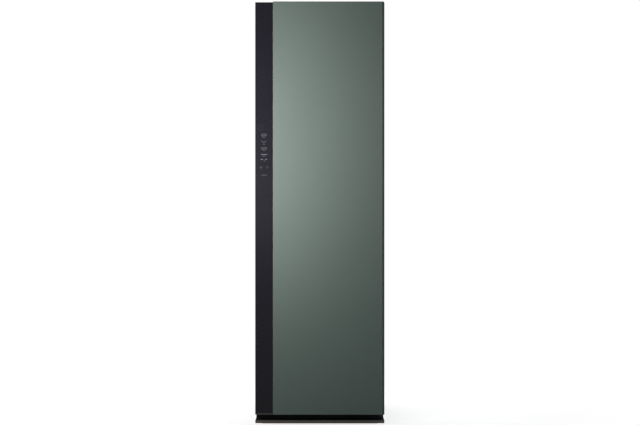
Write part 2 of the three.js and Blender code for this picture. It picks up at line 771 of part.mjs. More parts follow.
function cavityFloor() {
  const y = [mouth + SEAT, roomBack - SEAT];
  const profile = outlineOf([
    [y[0], FLOOR_HEIGHT],
    [mouth + FLOOR_FLAT, FLOOR_HEIGHT],
    [y[1], floorAt(y[1])],
    [y[1], floorAt(y[1]) - FLOOR_THICKNESS],
    [mouth + FLOOR_FLAT, FLOOR_HEIGHT - FLOOR_THICKNESS],
    [y[0], FLOOR_HEIGHT - FLOOR_THICKNESS],
  ]);
  const plate = carried(profile, "x", -roomHalf + SEAT, roomHalf - SEAT);
  const through = [FLOOR_HEIGHT - FLOOR_THICKNESS - OVERRUN, FLOOR_HEIGHT + FLOOR_RISE + OVERRUN];
  const socket = (at, width) =>
    block(about(at, width + 2 * FILTER_PLAY), about(filterY, FILTER_DEPTH + 2 * FILTER_PLAY), through);
  const pitch = GRILLE_SLOT_WIDTH + GRILLE_BAR;
  const reach = ((GRILLE_SLOTS - 1) * pitch) / 2;
  const grille = evenly(GRILLE_SLOTS, -reach, reach).map((at) =>
    block(about(at, GRILLE_SLOT_WIDTH), grilleY, through),
  );
  const steamHole = round("z", [nozzleX, nozzleY], NOZZLE_RADIUS - NOZZLE_WALL + SEAT, ...through);
  return cut(
    plate,
    socket(FILTER_OFFSET, FILTER_WIDTH),
    socket(AROMA_OFFSET, AROMA_WIDTH),
    grille,
    steamHole,
  );
}

function steamNozzle() {
  const seat = floorAt(nozzleY + NOZZLE_RADIUS) + SEAT;
  const top = seat + NOZZLE_HEIGHT;
  const neck = NOZZLE_RADIUS - NOZZLE_WALL;
  const dome = turned(
    [
      [NOZZLE_BORE, seat - HOSE_TAIL],
      [neck, seat - HOSE_TAIL],
      [neck, seat],
      [NOZZLE_RADIUS + NOZZLE_WALL, seat],
      [NOZZLE_RADIUS + NOZZLE_WALL, seat + NOZZLE_WALL],
      [NOZZLE_RADIUS, seat + NOZZLE_HEIGHT / 2],
      [NOZZLE_RADIUS - NOZZLE_WALL, top],
      [NOZZLE_BORE, top - NOZZLE_WALL],
      [NOZZLE_BORE, seat - HOSE_TAIL],
    ],
    [nozzleX, nozzleY],
  );
  const bar = block(
    about(nozzleX, 2 * NOZZLE_BORE + NOZZLE_WALL),
    about(nozzleY, NOZZLE_WALL),
    [top - 2 * NOZZLE_WALL, top - NOZZLE_WALL],
  );
  return join(dome, bar);
}

// A filter case with open windows, a head that rests on the floor, and a tab to lift it by
function filterCase(at, width, height, windows) {
  const head = FLOOR_HEIGHT + SEAT;
  const bottom = head - height;
  const body = block(about(at, width), about(filterY, FILTER_DEPTH), [bottom, head + CUT_MARGIN]);
  const open = (width - FILTER_BAR) / windows - FILTER_BAR;
  const reach = ((windows - 1) * (open + FILTER_BAR)) / 2;
  const half = (height - 3 * FILTER_BAR) / 2;
  const holes = evenly(windows, at - reach, at + reach).flatMap((x) =>
    [bottom + FILTER_BAR, bottom + 2 * FILTER_BAR + half].map((z) =>
      block(about(x, open), about(filterY, FILTER_DEPTH + 2 * OVERRUN), [z, z + half]),
    ),
  );
  const plate = block(
    about(at, width + 2 * FILTER_PLAY + 2 * FILTER_HEAD_RIM),
    about(filterY, FILTER_DEPTH + 2 * FILTER_PLAY + 2 * FILTER_HEAD_RIM),
    [head, head + FILTER_HEAD],
  );
  const tab = block(
    about(at, TAB_WIDTH),
    about(filterY, TAB_THICKNESS),
    [head + FILTER_HEAD - CUT_MARGIN, head + FILTER_HEAD + TAB_HEIGHT],
  );
  return join(cut(body, holes), plate, tab);
}

function shelf() {
  const x = [-roomHalf + RIB_PROUD + SHELF_SIDE_CLEARANCE, roomHalf - RIB_PROUD - SHELF_SIDE_CLEARANCE];
  const y = [mouth + SHELF_FRONT_GAP, roomBack - SHELF_BACK_GAP];
  const tray = cut(
    block(x, y, [SHELF_HEIGHT, SHELF_HEIGHT + SHELF_RIM]),
    block(
      [x[0] + SHELF_THICKNESS, x[1] - SHELF_THICKNESS],
      [y[0] + SHELF_THICKNESS, y[1] - SHELF_THICKNESS],
      [SHELF_HEIGHT + SHELF_THICKNESS, SHELF_HEIGHT + SHELF_RIM + OVERRUN],
    ),
  );
  const edge = LEDGE_WIDTH + SHELF_SLOT_WIDTH;
  const pitch = (x[1] - x[0] - 2 * edge) / SHELF_SLOTS;
  const slots = evenly(SHELF_SLOTS, x[0] + edge + pitch / 2, x[1] - edge - pitch / 2).flatMap((at) =>
    [
      [y[0] + edge, (y[0] + y[1]) / 2 - SHELF_SLOT_WIDTH / 2],
      [(y[0] + y[1]) / 2 + SHELF_SLOT_WIDTH / 2, y[1] - edge],
    ].map((run) =>
      block(about(at, SHELF_SLOT_WIDTH), run, [
        SHELF_HEIGHT - OVERRUN,
        SHELF_HEIGHT + SHELF_THICKNESS + OVERRUN,
      ]),
    ),
  );
  return cut(tray, slots);
}

// Water tanks, drawn out to the front from their bay under the floor
const bayFront = mouth + BAY_SETBACK;
const tankWidth = roomHalf - TANK_SIDE_GAP - BAY_POST / 2;
const tankX = (BAY_POST + tankWidth) / 2;
const tankBottom = SILL_HEIGHT + TANK_LIFT;
const tankTop = tankBottom + TANK_HEIGHT;
const lidTop = tankTop + SEAT + TANK_LID;
const tankBack = bayFront + TANK_DEPTH;

function tankBay() {
  const x = [-roomHalf + SEAT, roomHalf - SEAT];
  const z = [SILL_HEIGHT + SEAT, FLOOR_HEIGHT - FLOOR_THICKNESS - SEAT];
  const fascia = block(x, [bayFront, bayFront + BAY_WALL], z);
  const roomWidth = tankWidth + 2 * TANK_PLAY;
  const roomZ = [tankBottom - SEAT, lidTop + CAP_HEIGHT + TANK_PLAY];
  const sleeves = [-tankX, tankX].map((at) =>
    block(
      about(at, roomWidth + 2 * BAY_WALL),
      [bayFront, tankBack + TANK_PLAY + BAY_WALL],
      [roomZ[0] - BAY_WALL, roomZ[1] + BAY_WALL],
    ),
  );
  const rooms = [-tankX, tankX].map((at) =>
    block(about(at, roomWidth), [bayFront - OVERRUN, tankBack + TANK_PLAY], roomZ),
  );
  return cut(join(fascia, sleeves), rooms);
}

function tank(at) {
  const x = about(at, tankWidth);
  const y = [bayFront, tankBack];
  const inner = ([from, to]) => [from + TANK_WALL, to - TANK_WALL];
  const shell = carried(roundedOutline(x, y, TANK_CORNER), "z", tankBottom, tankTop);
  const hollow = carried(
    roundedOutline(inner(x), inner(y), TANK_CORNER - TANK_WALL),
    "z",
    tankBottom + TANK_WALL,
    tankTop + OVERRUN,
  );
  const gripX = about(at, GRIP_WIDTH);
  const gripTop = tankTop - GRIP_DROP;
  const outOf = (margin) => [
    block(
      [gripX[0] - margin, gripX[1] + margin],
      [bayFront - OVERRUN, bayFront + GRIP_DEPTH + margin],
      [gripTop - GRIP_HEIGHT - margin, gripTop + margin],
    ),
    block(
      [gripX[0] - margin, gripX[1] + margin],
      [bayFront + GRIP_LIP - margin, bayFront + GRIP_DEPTH + margin],
      [gripTop - CUT_MARGIN, gripTop + GRIP_HOOK + margin],
    ),
  ];
  return cut(shell, cut(hollow, outOf(TANK_WALL)), outOf(0));
}

function tankLid(at, cap) {
  const x = about(at, tankWidth);
  const y = [bayFront, tankBack];
  const play = TANK_WALL + SEAT;
  const plate = carried(roundedOutline(x, y, TANK_CORNER), "z", tankTop + SEAT, lidTop);
  const plug = carried(
    roundedOutline([x[0] + play, x[1] - play], [y[0] + play, y[1] - play], TANK_CORNER - play),
    "z",
    tankTop - LID_PLUG,
    tankTop + SEAT + CUT_MARGIN,
  );
  return join(plate, plug, cap);
}

// The supply tank is filled through a round cap, the drain tank emptied through a spout
const tankMiddle = bayFront + TANK_DEPTH / 2;

function fillerCap() {
  const at = -tankX + tankWidth / 4;
  const cap = round(
    "z",
    [at, tankMiddle],
    CAP_RADIUS,
    lidTop - CUT_MARGIN,
    lidTop + CAP_HEIGHT,
    LARGE_SIDES,
  );
  const turnSlot = [lidTop + CAP_HEIGHT / 2, lidTop + CAP_HEIGHT + OVERRUN];
  const halves = [
    [tankMiddle - CAP_RADIUS - OVERRUN, tankMiddle - NOZZLE_WALL],
    [tankMiddle + NOZZLE_WALL, tankMiddle + CAP_RADIUS + OVERRUN],
  ];
  return cut(
    cap,
    halves.map((y) => block(about(at, 1.5 * CAP_RADIUS), y, turnSlot)),
  );
}

function spout() {
  const at = tankX + tankWidth / 4;
  const ends = [at - SPOUT_LENGTH / 2, at + SPOUT_LENGTH / 2];
  const lip = roundedOutline(ends, about(tankMiddle, CAP_RADIUS), CAP_RADIUS / 2 - SEAT);
  return cut(
    carried(lip, "z", lidTop - CUT_MARGIN, lidTop + CAP_HEIGHT),
    block(
      [ends[0] + CAP_HEIGHT, ends[1] - CAP_HEIGHT],
      about(tankMiddle, CAP_RADIUS / 2),
      [lidTop + CAP_HEIGHT / 2, lidTop + CAP_HEIGHT + OVERRUN],
    ),
  );
}

// Foot of the cabinet behind the tanks: air is drawn down through the lint filter, over both coils
// and into the fan, which blows it up through the grille
const ductX = about(DUCT_OFFSET, DUCT_WIDTH);
const ductZ = [DUCT_BOTTOM, DUCT_TOP];
const intakeX = about(FILTER_OFFSET, FILTER_WIDTH + 2 * (FILTER_BAR + DUCT_WALL));
const intakeY = about(filterY, INTAKE_DEPTH);
const evaporatorY = [intakeY[1] + COIL_GAP, intakeY[1] + COIL_GAP + COIL_DEPTH];
const condenserY = [evaporatorY[1] + COIL_GAP, evaporatorY[1] + COIL_GAP + COIL_DEPTH];
const ductEnd = condenserY[1] + COIL_GAP;
const underFloor = FLOOR_HEIGHT - FLOOR_THICKNESS - SEAT;
const grow = ([from, to], by) => [from - by, to + by];

function airDuct() {
  const intakeZ = [DUCT_BOTTOM, underFloor];
  const outside = join(
    block(ductX, [intakeY[0], ductEnd], ductZ),
    block(intakeX, intakeY, intakeZ),
  );
  const inside = join(
    block(grow(ductX, -DUCT_WALL), [intakeY[0] + DUCT_WALL, ductEnd + OVERRUN], grow(ductZ, -DUCT_WALL)),
    block(
      grow(intakeX, -DUCT_WALL),
      grow(intakeY, -DUCT_WALL),
      [DUCT_BOTTOM + DUCT_WALL, underFloor + OVERRUN],
    ),
  );
  const feet = [ductX[0], ductX[1] - DUCT_FOOT].map((x) =>
    block([x, x + DUCT_FOOT], [intakeY[1], ductEnd], [panTop + SEAT, DUCT_BOTTOM + CUT_MARGIN]),
  );
  return join(cut(outside, inside), feet);
}

function coil([y0, y1]) {
  const x = grow(ductX, -DUCT_WALL - SEAT);
  const z = grow(ductZ, -DUCT_WALL - SEAT);
  const fins = evenly(FIN_COUNT, x[0] + FIN_THICKNESS / 2, x[1] - FIN_THICKNESS / 2).map((at) =>
    block(about(at, FIN_THICKNESS), [y0, y1], z),
  );
  const inset = 4 * TUBE_RADIUS;
  const tubes = evenly(TUBE_ROWS, z[0] + inset, z[1] - inset).map((at) =>
    round("x", [0, (y0 + y1) / 2, at], TUBE_RADIUS, ...x, THIN_PIPE_SIDES),
  );
  return join(fins, tubes);
}

// The fan turns about the duct's line inside a scroll that opens upwards
const fanX = DUCT_OFFSET;
const fanZ = (DUCT_BOTTOM + DUCT_TOP) / 2;
const scrollY = [ductEnd + SEAT, ductEnd + SEAT + FAN_WIDTH + 2 * (SCROLL_WALL + FAN_CLEARANCE)];

function scrollOutline(extra, top) {
  const start = FAN_RADIUS + FAN_CLEARANCE + extra;
  const right = fanX + start + SCROLL_GROWTH;
  const left = right - FAN_CHIMNEY - 2 * extra;
  const firstTurn = Math.acos((left - fanX) / start);
  const steps = 36;
  // From the cut-off at the chimney's left wall, round under the fan, and up its right wall
  const spiral = Array.from({ length: steps + 1 }, (_, i) => {
    const share = i / steps;
    const turn = firstTurn + (2 * Math.PI - firstTurn) * share;
    const radius = start + SCROLL_GROWTH * share;
    return [fanX + radius * Math.cos(turn), fanZ + radius * Math.sin(turn)];
  });
  return outlineOf([...spiral, [right, top], [left, top]]);
}

function fanHousing() {
  const top = floorAt(scrollY[0]) - FLOOR_THICKNESS - SEAT;
  const outside = carried(scrollOutline(SCROLL_WALL, top), "y", ...scrollY);
  const inside = carried(scrollOutline(0, top + OVERRUN), "y", ...grow(scrollY, -SCROLL_WALL));
  const inlet = round(
    "y",
    [fanX, 0, fanZ],
    FAN_INLET_RADIUS,
    scrollY[0] - OVERRUN,
    scrollY[0] + SCROLL_WALL + OVERRUN,
  );
  const shaftHole = round(
    "y",
    [fanX, 0, fanZ],
    FAN_SHAFT_RADIUS + SLIDE_CLEARANCE,
    scrollY[1] - SCROLL_WALL - OVERRUN,
    scrollY[1] + OVERRUN,
    SMALL_SIDES,
  );
  return cut(outside, inside, inlet, shaftHole);
}

const impellerY = grow(scrollY, -SCROLL_WALL - FAN_CLEARANCE);

function fanImpeller() {
  const middle = [fanX, 0, fanZ];
  const disc = round("y", middle, FAN_RADIUS, impellerY[1] - FAN_DISC, impellerY[1]);
  const hub = round("y", middle, FAN_HUB_RADIUS, impellerY[1] - FAN_WIDTH / 2, impellerY[1], MIDDLE_SIDES);
  const ring = cut(
    round("y", middle, FAN_RADIUS, impellerY[0], impellerY[0] + FAN_DISC),
    round("y", middle, FAN_INLET_RADIUS, impellerY[0] - OVERRUN, impellerY[0] + FAN_DISC + OVERRUN),
  );
  const blades = Array.from({ length: FAN_BLADES }, (_, i) => {
    const blade = new THREE.BoxGeometry(
      FAN_RADIUS - FAN_INLET_RADIUS - FAN_DISC,
      FAN_WIDTH - FAN_DISC,
      FAN_BLADE_THICKNESS,
    );
    const reach = (FAN_RADIUS + FAN_INLET_RADIUS) / 2;
    blade.rotateY(FAN_BLADE_TURN).translate(reach, (impellerY[0] + impellerY[1]) / 2, 0);
    return solid(blade.rotateY((2 * Math.PI * i) / FAN_BLADES).translate(fanX, 0, fanZ));
  });
  const bore = round(
    "y",
    middle,
    FAN_SHAFT_RADIUS + PIN_CLEARANCE,
    impellerY[1] - FAN_WIDTH / 2 - OVERRUN,
    impellerY[1] + OVERRUN,
    MIDDLE_SIDES,
  );
  return cut(join(disc, hub, ring, blades), bore);
}

function fanMotor() {
  const middle = [fanX, 0, fanZ];
  const face = scrollY[1] + SEAT;
  const foot = block(
    about(fanX, FAN_MOTOR_RADIUS),
    [face, face + FAN_MOTOR_LENGTH],
    [panTop + SEAT, fanZ - FAN_MOTOR_RADIUS / 2],
  );
  return join(
    round("y", middle, FAN_MOTOR_RADIUS, face, face + FAN_MOTOR_LENGTH),
    round(
      "y",
      middle,
      FAN_MOTOR_RADIUS / 2,
      face + FAN_MOTOR_LENGTH - CUT_MARGIN,
      face + FAN_MOTOR_LENGTH + CAP_HEIGHT,
    ),
    round("y", middle, FAN_SHAFT_RADIUS, impellerY[1] - FAN_WIDTH / 2, face + CUT_MARGIN, MIDDLE_SIDES),
    foot,
  );
}

const compressorX = roomHalf - COMPRESSOR_SIDE_GAP;
const compressorY = back - COMPRESSOR_BACK_GAP;
const compressorBottom = panTop + SEAT + COMPRESSOR_LIFT;
const compressorTop = compressorBottom + COMPRESSOR_HEIGHT;
const portX = compressorX - COMPRESSOR_RADIUS / 2;

function compressor() {
  const middle = [compressorX, compressorY];
  const can = turned(
    [
      [0, compressorBottom],
      [COMPRESSOR_RADIUS - COMPRESSOR_DOME, compressorBottom],
      [COMPRESSOR_RADIUS, compressorBottom + COMPRESSOR_DOME],
      [COMPRESSOR_RADIUS, compressorTop - 2 * COMPRESSOR_DOME],
      [COMPRESSOR_RADIUS - COMPRESSOR_DOME / 3, compressorTop - COMPRESSOR_DOME],
      [COMPRESSOR_RADIUS - COMPRESSOR_DOME, compressorTop - COMPRESSOR_DOME / 4],
      [0, compressorTop],
    ],
    middle,
    SMOOTH_SIDES,
  );
  const feet = [0.5, 1.5, 2.5, 3.5].map((quarter) => {
    const turn = (quarter * Math.PI) / 2;
    const foot = [
      compressorX + COMPRESSOR_FOOT_REACH * Math.cos(turn),
      compressorY + COMPRESSOR_FOOT_REACH * Math.sin(turn),
    ];
    const top = compressorBottom + PAN_THICKNESS;
    return round("z", foot, COMPRESSOR_FOOT_RADIUS, panTop + SEAT, top, SMALL_SIDES);
  });
  const plate = block(
    about(compressorX, 2 * COMPRESSOR_FOOT_REACH * Math.SQRT1_2 + COMPRESSOR_FOOT_RADIUS),
    about(compressorY, 2 * COMPRESSOR_FOOT_REACH * Math.SQRT1_2 + COMPRESSOR_FOOT_RADIUS),
    [compressorBottom - PAN_THICKNESS, compressorBottom + PAN_THICKNESS],
  );
  const port = round(
    "z",
    [portX, compressorY],
    HOSE_RADIUS,
    compressorTop - COMPRESSOR_DOME,
    compressorTop + PORT_HEIGHT,
    SMALL_SIDES,
  );
  return join(can, plate, feet, port);
}

// Refrigerant line from the compressor's port to the condenser's end of the duct
function refrigerantPipe() {
  const start = compressorTop + PORT_HEIGHT + SEAT;
  const endX = ductX[1] + SEAT;
  const middle = (condenserY[0] + condenserY[1]) / 2;
  const level = (DUCT_BOTTOM + DUCT_TOP) / 2;
  const route = [
    [portX, compressorY, start],
    [portX, compressorY, start + PORT_HEIGHT],
    [portX - PIPE_RADIUS, compressorY - COMPRESSOR_RADIUS / 2, start + 2 * PORT_HEIGHT],
    [portX - PIPE_RADIUS, scrollY[0] - COIL_GAP, start + PORT_HEIGHT],
    [endX + 2 * PORT_HEIGHT, middle + PORT_HEIGHT, level + PORT_HEIGHT],
    [endX + PORT_HEIGHT, middle, level],
    [endX, middle, level],
  ];
  return piped(route, PIPE_RADIUS, LONG_PIPE_STEPS, THIN_PIPE_SIDES);
}

// Steam generator at the rear on the left, and its hose up to the nozzle
const steamX = [-roomHalf + STEAM_SIDE_GAP, -roomHalf + STEAM_SIDE_GAP + STEAM_WIDTH];
const steamY = [back - STEAM_BACK_GAP - STEAM_DEPTH, back - STEAM_BACK_GAP];
const steamZ = [panTop + STEAM_LIFT, panTop + STEAM_LIFT + STEAM_HEIGHT];
const steamPortY = (steamY[0] + steamY[1]) / 2;

function steamGenerator() {
  const seamZ = about(steamZ[0] + STEAM_HEIGHT * 0.6, STEAM_RIB);
  const body = carried(roundedOutline(steamX, steamY, STEAM_CORNER), "z", ...steamZ);
  const ribs = evenly(3, steamX[0] + 2 * STEAM_CORNER, steamX[1] - 2 * STEAM_CORNER).map((at) =>
    block(about(at, STEAM_RIB), grow(steamY, STEAM_RIB), [steamZ[0] + STEAM_CORNER, seamZ[0] - STEAM_RIB]),
  );
  const seam = carried(
    roundedOutline(grow(steamX, STEAM_RIB), grow(steamY, STEAM_RIB), STEAM_CORNER + STEAM_RIB),
    "z",
    ...seamZ,
  );
  const feet = grow(steamX, -1.5 * STEAM_CORNER).flatMap((x) =>
    grow(steamY, -1.5 * STEAM_CORNER).map((y) =>
      round("z", [x, y], STEAM_CORNER / 2, panTop + SEAT, steamZ[0] + CUT_MARGIN, SMALL_SIDES),
    ),
  );
  const port = round(
    "z",
    [nozzleX, steamPortY],
    HOSE_RADIUS - MOULD,
    steamZ[1] - CUT_MARGIN,
    steamZ[1] + HOSE_TAIL,
    SMALL_SIDES,
  );
  return join(body, ribs, seam, feet, port);
}

function steamPipe() {
  const nozzleEnd = floorAt(nozzleY + NOZZLE_RADIUS) + SEAT - HOSE_TAIL - SEAT;
  const start = steamZ[1] + HOSE_TAIL + SEAT;
  return piped(
    [
      [nozzleX, steamPortY, start],
      [nozzleX, steamPortY, start + 2 * HOSE_TAIL],
      [nozzleX, (steamPortY + nozzleY) / 2, (start + nozzleEnd) / 2],
      [nozzleX, nozzleY, nozzleEnd - 2 * HOSE_TAIL],
      [nozzleX, nozzleY, nozzleEnd],
    ],
    HOSE_RADIUS,
    PIPE_STEPS,
  );
}

const pumpX = roomHalf - PUMP_SIDE_GAP;
const boxX = -roomHalf + BOX_WIDTH / 2;

// A water pump lying front to back on its cradle, its ports towards the tanks and upwards
function pump(at) {
  const middle = [at, 0, panTop + PUMP_CRADLE + PUMP_RADIUS];
  const start = mouth + PUMP_SETBACK - PUMP_LENGTH / 2;
  const end = start + PUMP_LENGTH;
  const body = round("y", middle, PUMP_RADIUS, start, end);
  const head = round("y", middle, PUMP_RADIUS + PUMP_CRADLE / 2, start, start + PUMP_PORT);
  const inlet = round("y", middle, PUMP_PORT_RADIUS, start - PUMP_PORT, start + CUT_MARGIN, SMALL_SIDES);
  const outlet = round(
    "z",
    [at, start + PUMP_PORT / 2],
    PUMP_PORT_RADIUS,
    middle[2],
    middle[2] + PUMP_RADIUS + PUMP_PORT,
    SMALL_SIDES,
  );
  const cradle = block(
    about(at, 2 * PUMP_RADIUS),
    [start + PUMP_PORT, end],
    [panTop + SEAT, panTop + PUMP_CRADLE + PUMP_RADIUS / 2],
  );
  return join(body, head, inlet, outlet, cradle);
}

function controlBox() {
  const x = about(boxX, BOX_WIDTH);
  const y = [back - SHEET - SEAT - BOX_DEPTH, back - SHEET - SEAT];
  const z = [panTop + BOX_LIFT, panTop + BOX_LIFT + BOX_HEIGHT];
  const fins = evenly(7, x[0] + 2 * BOX_FIN, x[1] - 2 * BOX_FIN).map((at) =>
    block(about(at, BOX_FIN / 2), [y[0] - BOX_FIN, y[0] + CUT_MARGIN], grow(z, -2 * BOX_FIN)),
  );
  const terminals = block(
    about(boxX, BOX_WIDTH / 3),
    grow(y, -2 * BOX_FIN),
    [z[1] - CUT_MARGIN, z[1] + 2 * BOX_FIN],
  );
  return join(block(x, y, z), fins, terminals);
}

// Hanger rail: a carriage slides on two runners above the ceiling, and a crank under a bridge shakes it
const railTop = ceiling - RAIL_DROP;
const plateBottom = ceiling + MOULD + SEAT;
const plateTop = plateBottom + DRIVE_PLATE;
const runnerTop = plateTop + RUNNER_HEIGHT;
const carriageBottom = runnerTop + SEAT;
const carriageTop = carriageBottom + CARRIAGE_HEIGHT;
const pinBottom = carriageTop + SEAT; // stands just clear of the slot
const discBottom = pinBottom + CRANK_PIN_HEIGHT;
const pulleyBottom = discBottom + CRANK_DISC_HEIGHT;
const pulleyTop = pulleyBottom + PULLEY_HEIGHT;
const bridgeBottom = pulleyTop + SLIDE_CLEARANCE;
const bridgeTop = bridgeBottom + BRIDGE_THICKNESS;
const bridgeReach = CRANK_PULLEY_RADIUS + BRIDGE_LEG + 2 * SLIDE_CLEARANCE;
const motorX = -BELT_CENTRES;
const flangeHeight = (PULLEY_HEIGHT - BELT_HEIGHT) / 2 - BELT_CLEARANCE;

function hangerBar() {
  const half = roomHalf - RAIL_END_GAP;
  const outline = roundedOutline(about(railY, RAIL_DEPTH), [railTop - RAIL_HEIGHT, railTop], RAIL_CORNER);
  const bar = carried(outline, "x", -half, half);
  const reach = half - NOTCH_WIDTH;
  const notches = evenly(HANGER_PLACES, -reach, reach)
    .filter((at) => Math.abs(at) > STEM_HALF_WIDTH)
    .map((at) =>
      block(
        about(at, NOTCH_WIDTH),
        about(railY, RAIL_DEPTH + OVERRUN),
        [railTop - NOTCH_DEPTH, railTop + OVERRUN],
      ),
    );
  return cut(bar, notches);
}

function hangerCarriage() {
  const plate = block(
    [-CARRIAGE_HALF_WIDTH, CARRIAGE_HALF_WIDTH],
    [railY - CARRIAGE_HALF_DEPTH, railY + CARRIAGE_HALF_DEPTH],
    [carriageBottom, carriageTop],
  );
  const stem = block(
    [-STEM_HALF_WIDTH, STEM_HALF_WIDTH],
    [railY - STEM_HALF_DEPTH, railY + STEM_HALF_DEPTH],
    [railTop + SEAT, carriageBottom + CUT_MARGIN],
  );
  const slotHalf = CRANK_PIN_RADIUS + CUT_MARGIN;
  const slotReach = SHAKE + slotHalf + SLIDE_CLEARANCE;
  const slot = block(
    [-slotHalf, slotHalf],
    [railY - slotReach, railY + slotReach],
    [carriageTop - YOKE_DEPTH, carriageTop + OVERRUN],
  );
  return cut(join(plate, stem), slot);
}

function driveFrame() {
  const x = [motorX - MOTOR_RADIUS - DRIVE_PLATE_EDGE, CARRIAGE_HALF_WIDTH + SHAKE + DRIVE_PLATE_EDGE];
  const plate = block(x, about(railY, DRIVE_PLATE_DEPTH), [plateBottom, plateTop]);
  const runners = [-1, 1].map((side) =>
    block(
      [-CARRIAGE_HALF_WIDTH - SHAKE, CARRIAGE_HALF_WIDTH + SHAKE],
      about(railY + side * (CARRIAGE_HALF_DEPTH - RUNNER_WIDTH / 2), RUNNER_WIDTH),
      [plateTop - CUT_MARGIN, runnerTop],
    ),
  );
  const legs = [-1, 1].map((side) =>
    block(
      [-BRIDGE_HALF_WIDTH, BRIDGE_HALF_WIDTH],
      about(railY + side * (bridgeReach - BRIDGE_LEG / 2), BRIDGE_LEG),
      [plateTop - CUT_MARGIN, bridgeTop],
    ),
  );
  const bridge = block(
    [-BRIDGE_HALF_WIDTH, BRIDGE_HALF_WIDTH],
    [railY - bridgeReach, railY + bridgeReach],
    [bridgeBottom, bridgeTop],
  );
  const stemSlot = block(
    [-stemSlotX, stemSlotX],
    [railY - stemSlotY, railY + stemSlotY],
    [plateBottom - OVERRUN, plateTop + CUT_MARGIN],
  );
  const bearing = round(
    "z",
    [0, railY],
    CRANK_SHAFT_RADIUS + PIN_CLEARANCE,
    bridgeBottom - OVERRUN,
    bridgeTop + OVERRUN,
    LARGE_SIDES,
  );
  return cut(join(plate, runners, legs, bridge), stemSlot, bearing);
}

// A grooved pulley whose flanges stand proud of the belt's bed
function pulley([x, y], radius, bottom) {
  const top = bottom + PULLEY_HEIGHT;
  const bed = radius - PULLEY_FLANGE;
  return turned(
    [
      [0, bottom],
      [radius, bottom],
      [radius, bottom + flangeHeight],
      [bed, bottom + flangeHeight],
      [bed, top - flangeHeight],
      [radius, top - flangeHeight],
      [radius, top],
      [0, top],
    ],
    [x, y],
    SMOOTH_SIDES,
  );
}

function crankWheel() {
  return join(
    pulley([0, railY], CRANK_PULLEY_RADIUS, pulleyBottom),
    round("z", [0, railY], CRANK_DISC_RADIUS, discBottom, pulleyBottom + CUT_MARGIN),
    round("z", [0, railY + SHAKE], CRANK_PIN_RADIUS, pinBottom, discBottom + CUT_MARGIN, MIDDLE_SIDES),
    round(
      "z",
      [0, railY],
      CRANK_SHAFT_RADIUS,
      pulleyTop - CUT_MARGIN,
      bridgeTop + BRIDGE_THICKNESS,
      LARGE_SIDES,
    ),
  );
}

const motorPulleyBore = (bottom) =>
  round(
    "z",
    [motorX, railY],
    MOTOR_SHAFT_RADIUS + PIN_CLEARANCE,
    bottom,
    pulleyTop - PULLEY_FLANGE,
    MIDDLE_SIDES,
  );
const motorPulley = () =>
  cut(pulley([motorX, railY], MOTOR_PULLEY_RADIUS, pulleyBottom), motorPulleyBore(pulleyBottom - OVERRUN));

const driveMotor = () =>
  join(
    round("z", [motorX, railY], MOTOR_RADIUS, plateTop + SEAT, discBottom, SMOOTH_SIDES),
    round(
      "z",
      [motorX, railY],
      MOTOR_RADIUS / 3,
      discBottom - CUT_MARGIN,
      pulleyBottom - SLIDE_CLEARANCE,
      MIDDLE_SIDES,
    ),
    round(
      "z",
      [motorX, railY],
      MOTOR_SHAFT_RADIUS,
      discBottom - CUT_MARGIN,
      pulleyTop - PULLEY_FLANGE - SLIDE_CLEARANCE,
      MIDDLE_SIDES,
    ),
  );

function beltOutline(extra) {
  const big = CRANK_PULLEY_RADIUS - PULLEY_FLANGE + BELT_CLEARANCE + extra;
  const small = MOTOR_PULLEY_RADIUS - PULLEY_FLANGE + BELT_CLEARANCE + extra;
  // Both straight runs touch their circles at this turn from the line of centres
  const lean = Math.acos((big - small) / BELT_CENTRES);
  const arc = (x, radius, from, to, steps) =>
    evenly(steps, from, to).map((turn) => [x + radius * Math.cos(turn), railY + radius * Math.sin(turn)]);
  return outlineOf([
    ...arc(0, big, -(Math.PI - lean), Math.PI - lean, 28),
    ...arc(motorX, small, Math.PI - lean, Math.PI + lean, SMALL_SIDES),
  ]);
}

function driveBelt() {
  const z = about((pulleyBottom + pulleyTop) / 2, BELT_HEIGHT);
  return cut(
    carried(beltOutline(BELT_THICKNESS), "z", ...z),
    carried(beltOutline(0), "z", z[0] - OVERRUN, z[1] + OVERRUN),
  );
}

// Hinge brackets: an arm over the door with its pin down, and an arm under it with its pin up
function topBracket() {
  const z = [cabinetTop + SEAT, cabinetTop + SEAT + ARM_THICKNESS];
  const plateY = [mouth + ARM_HALF_WIDTH, mouth + ARM_HALF_WIDTH + TOP_ARM_PLATE_LENGTH];
  const plate = block([hingeX + ARM_HALF_WIDTH - TOP_ARM_PLATE_WIDTH, hingeX + ARM_HALF_WIDTH], plateY, z);
  const arm = block([hingeX - ARM_HALF_WIDTH, hingeX + ARM_HALF_WIDTH], [hingeY, plateY[1]], z);
  const tip = round("z", [hingeX, hingeY], ARM_TIP_RADIUS, ...z);
  const pin = round("z", [hingeX, hingeY], PIN_RADIUS, z[0] - PIN_LENGTH, z[0] + CUT_MARGIN);
  const holes = grow(plateY, -ARM_HALF_WIDTH - SCREW_RADIUS).map((y) =>
    round(
      "z",
      [hingeX - TOP_ARM_PLATE_WIDTH / 2, y],
      SCREW_RADIUS,
      z[0] - OVERRUN,
      z[1] + OVERRUN,
      SMALL_SIDES,
    ),
  );
  return cut(join(plate, arm, tip, pin), holes);
}

